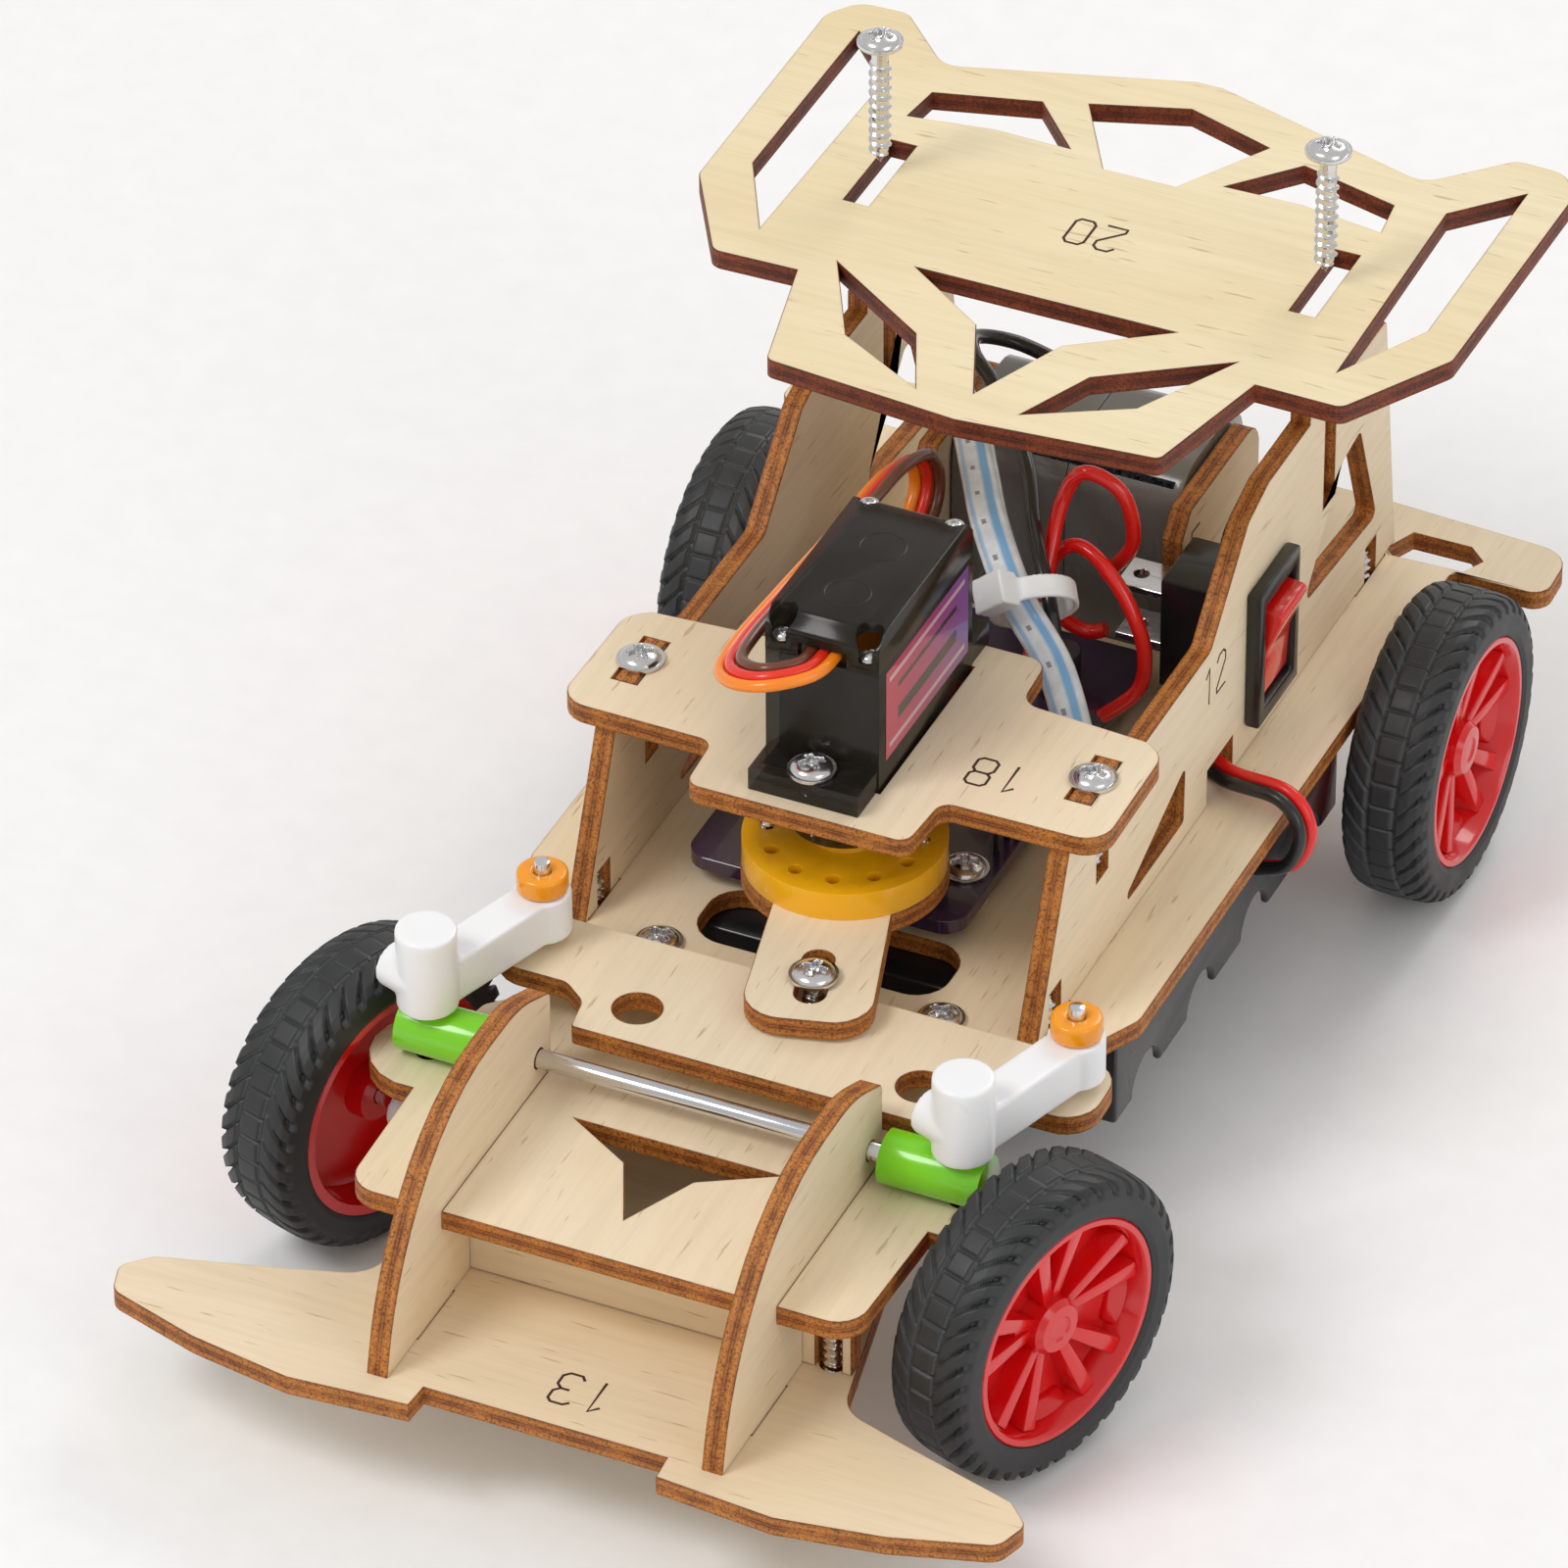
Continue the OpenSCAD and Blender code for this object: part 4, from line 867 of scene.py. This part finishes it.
def hub_mesh(rim, width):
    """Five-pair spoke wheel about Z, its outer face at +Z, closed by a dish behind the spokes."""
    half = width / 2 - 0.3 * MM
    lip = rim - 0.02 * MM
    profile = [
        (0, 3.35 * MM), (1.2 * MM, 3.4 * MM), (1.4 * MM, 3.58 * MM), (2.5 * MM, 3.5 * MM),
        (3.0 * MM, 2.9 * MM), (3.1 * MM, 0.4 * MM), (6.5 * MM, 0.5 * MM), (rim - 1.6 * MM, 0.9 * MM),
        (rim - 1.45 * MM, 1.2 * MM), (rim - 1.1 * MM, half - 0.35 * MM), (lip - 0.8 * MM, half),
        (lip - 0.25 * MM, half), (lip, half - 0.3 * MM), (lip, -half), (lip - 0.3 * MM, -half),
        (rim - 1.1 * MM, -half + 0.1 * MM), (rim - 1.35 * MM, -0.4 * MM),
        (rim - 2.2 * MM, -0.1 * MM), (6 * MM, -0.15 * MM), (3.2 * MM, -0.4 * MM),
        (2.9 * MM, -2.4 * MM), (1.1 * MM, -2.4 * MM), (1.1 * MM, 3.25 * MM), (0, 3.25 * MM)]
    shell = revolve(profile, 96, "hub_shell")
    blocks = []
    for k in range(SPOKE_PAIRS):
        middle = 360 // SPOKE_PAIRS * k + 18
        gap = middle + 180 // SPOKE_PAIRS
        for sign in (-1, 1):
            blocks.append(spoke_block(middle + sign * 9, middle + sign * 13, 2.6 * MM,
                                      rim - 1.3 * MM, 0.62 * MM, 0.95 * MM, 2.3 * MM, 3.5 * MM))
        blocks.append(spoke_block(middle, middle, 2.6 * MM, 5.2 * MM, 0.9 * MM, 1.3 * MM,
                                  2.0 * MM, 2.1 * MM))
        blocks.append(spoke_block(gap, gap, rim - 2.6 * MM, rim - 1.2 * MM, 2.4 * MM, 3.0 * MM,
                                  1.2 * MM, 2.6 * MM))
    mesh = joined([(block, UNMOVED) for block in [shell, *blocks]], "hub")
    shade(mesh, 35)
    return mesh


def wheels():
    rubber = tyre_rubber()
    red = moulded("red_hub", (0.78, 0.006, 0.008), 0.2, coat=0.5, subsurface=0.12)
    low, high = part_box("rear_tyre_left")
    radius = (high.z - low.z) / 2
    width = high.x - low.x
    tyre = tyre_mesh(radius, width, RIM_RADIUS)
    hub = hub_mesh(RIM_RADIUS, width)
    for end in ("front", "rear"):
        for side, sign in (("left", -1), ("right", 1)):
            node = f"{end}_tyre_{side}"
            joint = JOINTS.get(f"{end}_wheel_spin_{side}", JOINTS["rear_axle_spin"])
            outward = Vector(joint["axis"]) * sign
            low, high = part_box(node)
            place = Matrix.Translation((low + high) / 2) @ along_z(outward)
            for kind, mesh, material in (("tyre", tyre, rubber), ("hub", hub, red)):
                stands_for = f"{end}_{kind}_{side}"
                piece = add_piece(stands_for + "_detail", mesh, node, slot=SLOT_OF[stands_for])
                if not mesh.materials:
                    mesh.materials.append(material)
                piece.matrix_world = place
                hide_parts(stands_for)


# ---- moulded parts, servo, board and switch ------------------------------------


def repaint(node, material):
    """Gives a CAD node whose shape is right its finished material."""
    mesh = frame["nodes"][node].data
    mesh.materials.clear()
    mesh.materials.append(material)


def panel(name, corners, node, material):
    """Flat four-sided sticker with u, v attributes across it."""
    count = 24
    a, b, c, d = (np.array(p) for p in corners)
    u = np.linspace(0, 1, count)[None, :, None]
    v = np.linspace(0, 1, count)[:, None, None]
    points = (a * (1 - u) + b * u) * (1 - v) + (d * (1 - u) + c * u) * v
    mesh = grid_mesh(points, name, closed_u=False)
    add_attribute(mesh, "u", np.broadcast_to(u[..., 0], (count, count)))
    add_attribute(mesh, "v", np.broadcast_to(v[..., 0], (count, count)))
    return add_piece(name, mesh, node, material)


def servo():
    case = smoked("smoked_case", 0.78)
    for node, width in (("servo_case_body", 0.3 * MM), ("servo_gear_cover", 0.4 * MM),
                        ("servo_end_cover", 0.3 * MM)):
        softened(node, width, case)
    low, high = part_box("servo_case_body")
    cap_low, cap_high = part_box("servo_end_cover")
    side = cap_high.x + 0.04 * MM
    front, back = cap_low.y + 1.6 * MM, cap_high.y - 1.2 * MM
    bottom, top = low.z + 3.4 * MM, high.z - 0.6 * MM
    corners = [(side, front, bottom), (side, back, bottom), (side, back, top), (side, front, top)]
    panel("servo_label", corners, "servo_case_body", servo_label())
    for index, y in enumerate((cap_low.y + 6 * MM, cap_low.y + 14.5 * MM)):
        ring = revolve([(2.6 * MM, 0), (2.6 * MM, 0.18 * MM), (2.3 * MM, 0.22 * MM),
                        (2.1 * MM, 0.18 * MM), (2.1 * MM, 0)], 48, "cap_ring")
        ring.transform(Matrix.Translation((0, y, cap_high.z - 0.2 * MM)))
        ring.shade_smooth()
        add_piece(f"servo_cap_ring_{index}", ring, "servo_end_cover", case)
    repaint("servo_motor", moulded("amber_block", (0.75, 0.24, 0.02), 0.35))
    steel = metal("bright_screw", (0.8, 0.8, 0.8), 0.18)
    parts = []
    for index, (a, b) in enumerate(islands("servo_case_screws")):
        mesh = head_mesh((b.x - a.x) / 2, 0.68 * MM, 0.3 * MM, f"case_screw_{index}")
        place = Matrix.Translation(((a.x + b.x) / 2, (a.y + b.y) / 2, a.z))
        parts.append((mesh, place))
    heads = joined(parts, "servo_case_screw_heads")
    shade(heads, 40)
    add_piece("servo_case_screw_heads", heads, "servo_case_screws", steel,
              replaces=["servo_case_screws"])
    repaint("servo_shaft", metal("brass_spline", (0.78, 0.56, 0.24), 0.25))
    amber = moulded("amber_horn", (1.0, 0.50, 0.006), 0.28, coat=0.3, subsurface=0.1)
    softened("servo_horn", 0.35 * MM, amber, 3)
    threads = small_screws("horn_screws", 1.7 * MM, 1.0 * MM, 0.85 * MM)
    add_piece("horn_screws_detail", threads, "horn_screws", steel, replaces=["horn_screws"])


def steering_parts():
    nylon = moulded("white_nylon", (0.90, 0.91, 0.93), 0.32, coat=0.15, mottle=0.03,
                    subsurface=0.35)
    caps = moulded("orange_cap", (1.0, 0.36, 0.004), 0.25, coat=0.3, subsurface=0.12)
    pins = metal("drawn_wire", (0.82, 0.82, 0.83), 0.16, (1, 1, 0.2))
    for side in ("left", "right"):
        blended("knuckle_" + side, 0.2 * MM, 9, nylon)
        blended("axle_carrier_" + side, 0.2 * MM, 5, nylon)
        softened("pin_cap_" + side, 0.4 * MM, caps, 3)
        softened("steering_pins_" + side, 0.12 * MM, pins)
    green = moulded("green_sleeve", (0.22, 0.72, 0.008), 0.22, coat=0.4, subsurface=0.15)
    softened("axle_sleeves", 0.3 * MM, green, 3)
    rod = metal("drawn_rod", (0.74, 0.74, 0.76), 0.14, (0.05, 1, 1))
    for node in ("front_axle_rod", "rear_axle"):
        softened(node, 0.15 * MM, rod)


def powertrain():
    grey = moulded("gearbox_grey", (0.20, 0.195, 0.185), 0.26, coat=0.35)
    for node in ("gearbox_half_left", "gearbox_half_right"):
        softened(node, 0.5 * MM, grey, 3)
    repaint("drive_motor", metal("motor_can", (0.66, 0.66, 0.68), 0.28))
    gears = moulded("gear_nylon", (0.82, 0.82, 0.78), 0.4)
    repaint("axle_gear", gears)
    repaint("idler_gear", gears)
    repaint("motor_pinion", metal("pinion_brass", (0.78, 0.56, 0.24), 0.25))


def battery_and_board():
    black = moulded("black_holder", (0.012, 0.012, 0.014), 0.3, coat=0.25)
    softened("battery_holder", 0.45 * MM, black, 3)
    # The cells are coloured near black as painted shade: they show only through the holder's notches, which are
    # dark with shade.
    repaint("battery_cells", moulded("cell_wrap", (0.02, 0.022, 0.03), 0.3, coat=0.3))
    softened("circuit_board", 0.15 * MM, circuit_board_skin(), 1)
    softened("board_components", 0.12 * MM,
             moulded("component_black", (0.018, 0.018, 0.02), 0.4), 1)
    softened("board_spacers", 0.2 * MM, moulded("spacer_white", (0.85, 0.85, 0.85), 0.4), 1)
    softened("switch_body", 0.35 * MM,
             moulded("switch_black", (0.010, 0.010, 0.012), 0.32, coat=0.2), 2)
    softened("switch_rocker", 0.35 * MM,
             moulded("rocker_red", (0.80, 0.010, 0.006), 0.18, coat=0.5), 3)
    softened("switch_terminals", 0.12 * MM,
             metal("tinned_tab", (0.85, 0.85, 0.86), 0.2, (0.1, 1, 1)), 1)


# ---- wires -------------------------------------------------------------------

# The routes are part.scad's own, in its millimetres, where the car's middle is at this Y.
CAR_MIDDLE = 3.0
ROUTE_STEPS = 8
WIRE = 1.6 * MM
SERVO_ROUTE = [(0, -10.6, 61.65), (-0.6, -14, 61.6), (-4.5, -16.4, 61), (-8.6, -14, 59.5), (-9.8, -8, 58.6),
               (-9.4, 2, 58.4), (-9.6, 13, 57), (-11, 23, 54.2), (-11, 31, 53.4), (-10.6, 36.4, 51.4),
               (-10.2, 37.2, 47.2), (-10, 33, 44), (-9.8, 27, 42.4), (-9.6, 23.8, 38.7)]
RED_LOOP_A = [(8.8, 39, 41), (12, 38.4, 46.2), (11, 38, 52.2), (7, 37.6, 54), (4.9, 36.9, 50.5),
              (4.8, 33.6, 45), (5.2, 29.6, 39.5), (6, 24, 34), (5.5, 22, 31.6)]
RED_LOOP_B = [(9, 39, 34.2), (7, 38.6, 33.6), (4.6, 37.6, 35.6), (3.6, 36.8, 39.6), (4.2, 36.4, 43.4),
              (6.8, 36, 46), (10, 35, 45.4), (13.6, 33.8, 42), (15.8, 32.8, 37.4),
              (15.4, 32, 33), (12.4, 29.6, 30.4)]
BATTERY_ROUTE = [(17.6, 35.8, 31.2), (20.8, 32.6, 28.5), (26, 29.6, 27.4), (33.2, 28, 27.9), (36, 27, 25),
                 (34.8, 26.6, 20.8), (31.3, 26.6, 19.2)]
BLACK_ROUTE = [(-6, 62.5, 47.95), (-11, 62, 49.5), (-14, 58.5, 51.6), (-12.6, 54.4, 52.6), (-8.8, 51, 51.8),
               (-4.6, 46.6, 50.4), (-0.6, 41, 49.6), (3.4, 33.4, 48), (7.7, 27.4, 44.2), (11.4, 21.8, 37.4),
               (13.8, 16.6, 33), (12, 13.5, 30.2)]
SLEEVE_ROUTE = [(-15, 53.4, 49.6), (-10, 47.5, 48.8), (-5.5, 40, 48.4), (-1, 32.5, 48), (4.8, 25.8, 45.2),
                (11.6, 19.8, 42.6), (17, 13.8, 36.6), (20, 10.2, 31.2)]


def smooth_route(points):
    """Curve through the CAD route's points, as the CAD draws it, in metres in the row frame."""
    p = np.array(points, float) * MM - np.array([0, CAR_MIDDLE * MM, 0])
    out = []
    for i in range(len(p) - 1):
        a, b, c, d = p[max(i - 1, 0)], p[i], p[i + 1], p[min(i + 2, len(p) - 1)]
        for t in np.arange(ROUTE_STEPS) / ROUTE_STEPS:
            out.append(0.5 * (2 * b + (c - a) * t + (2 * a - 5 * b + 4 * c - d) * t * t
                              + (3 * b - a - 3 * c + d) * t ** 3))
    out.append(p[-1])
    return np.array(out)


def carried_frames(path, across):
    """Headings and width directions along a path, with no twist."""
    heading = np.gradient(path, axis=0)
    heading /= np.linalg.norm(heading, axis=1)[:, None]
    widths = []
    u = np.array(across, float)
    for d in heading:
        u = u - u @ d * d
        u /= np.linalg.norm(u)
        widths.append(u)
    return heading, np.array(widths)


def wire(name, path, diameter, material, node, replaces=()):
    """Round wire along a path."""
    curve = bpy.data.curves.new(name, "CURVE")
    curve.dimensions = "3D"
    curve.bevel_depth = diameter / 2
    curve.bevel_resolution = 4
    curve.use_fill_caps = True
    spline = curve.splines.new("POLY")
    spline.points.add(len(path) - 1)
    for point, place in zip(spline.points, path):
        point.co = (*place, 1)
    spline.use_smooth = True
    piece = bpy.data.objects.new(name, curve)
    bpy.context.scene.collection.objects.link(piece)
    curve.materials.append(material)
    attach(piece, BODY_OF[node])
    if replaces:
        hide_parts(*replaces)


def ribbon(prefix, route, across, spacing, diameter, colours, node):
    """Parallel strands side by side along one route."""
    path = smooth_route(route)
    _, widths = carried_frames(path, across)
    middle = (len(colours) - 1) / 2
    for index, (label, colour) in enumerate(colours):
        strand = path + widths * (index - middle) * spacing
        skin = moulded(f"{prefix}_{label}_skin", colour, 0.3, coat=0.25)
        wire(f"{prefix}_{label}", strand, diameter, skin, node,
             replaces=[node] if index == 0 else ())


def sleeve_mesh(path, across, rx, ry):
    """Oval tube along a path, rx wide and ry thick from its middle."""
    heading, widths = carried_frames(path, across)
    thick = np.cross(heading, widths)
    count = 28
    angle = np.linspace(0, 2 * np.pi, count, endpoint=False)
    points = (path[:, None, :] + widths[:, None, :] * (rx * np.cos(angle))[None, :, None]
              + thick[:, None, :] * (ry * np.sin(angle))[None, :, None])
    mesh = grid_mesh(points, "sleeve")
    add_attribute(mesh, "around", np.broadcast_to(angle / (2 * np.pi), points.shape[:2]))
    along = np.linspace(0, 1, len(path))[:, None]
    add_attribute(mesh, "along", np.broadcast_to(along, points.shape[:2]))
    mesh.shade_smooth()
    return mesh


def wires():
    ribbon("servo_lead", SERVO_ROUTE, (1, 0, 0), 1.25 * MM, 1.24 * MM,
           [("brown", (0.16, 0.045, 0.02)), ("red", (0.85, 0.03, 0.012)),
            ("orange", (1.0, 0.26, 0.008))],
           "servo_lead")
    red = moulded("red_wire_skin", (0.85, 0.012, 0.008), 0.2, coat=0.4)
    wire("switch_wire_upper", smooth_route(RED_LOOP_A), WIRE, red, "power_wires",
         ["power_wires"])
    wire("switch_wire_lower", smooth_route(RED_LOOP_B), WIRE, red, "power_wires")
    ribbon("battery_lead", BATTERY_ROUTE, (0.7, 0.7, 0), 1.5 * MM, 1.46 * MM,
           [("black", (0.012, 0.012, 0.013)), ("red", (0.85, 0.012, 0.008))], "power_wires")
    black = moulded("black_wire_skin", (0.012, 0.012, 0.013), 0.22, coat=0.4)
    wire("motor_lead", smooth_route(BLACK_ROUTE), WIRE, black, "tied_cables",
         ["tied_cables"])
    path = smooth_route(SLEEVE_ROUTE)
    tube = sleeve_mesh(path, (0.7, 0.7, 0), 2 * MM, MM)
    sleeve = add_piece("signal_sleeve", tube, "tied_cables", clear_sleeve())
    tie = moulded("tie_nylon", (0.88, 0.89, 0.90), 0.25, coat=0.2, subsurface=0.3)
    blended("zip_tie", 0.16 * MM, 4, tie)


# ---- build -------------------------------------------------------------------

studio()
plywood()
numerals()
screws()
wheels()
servo()
steering_parts()
powertrain()
battery_and_board()
wires()
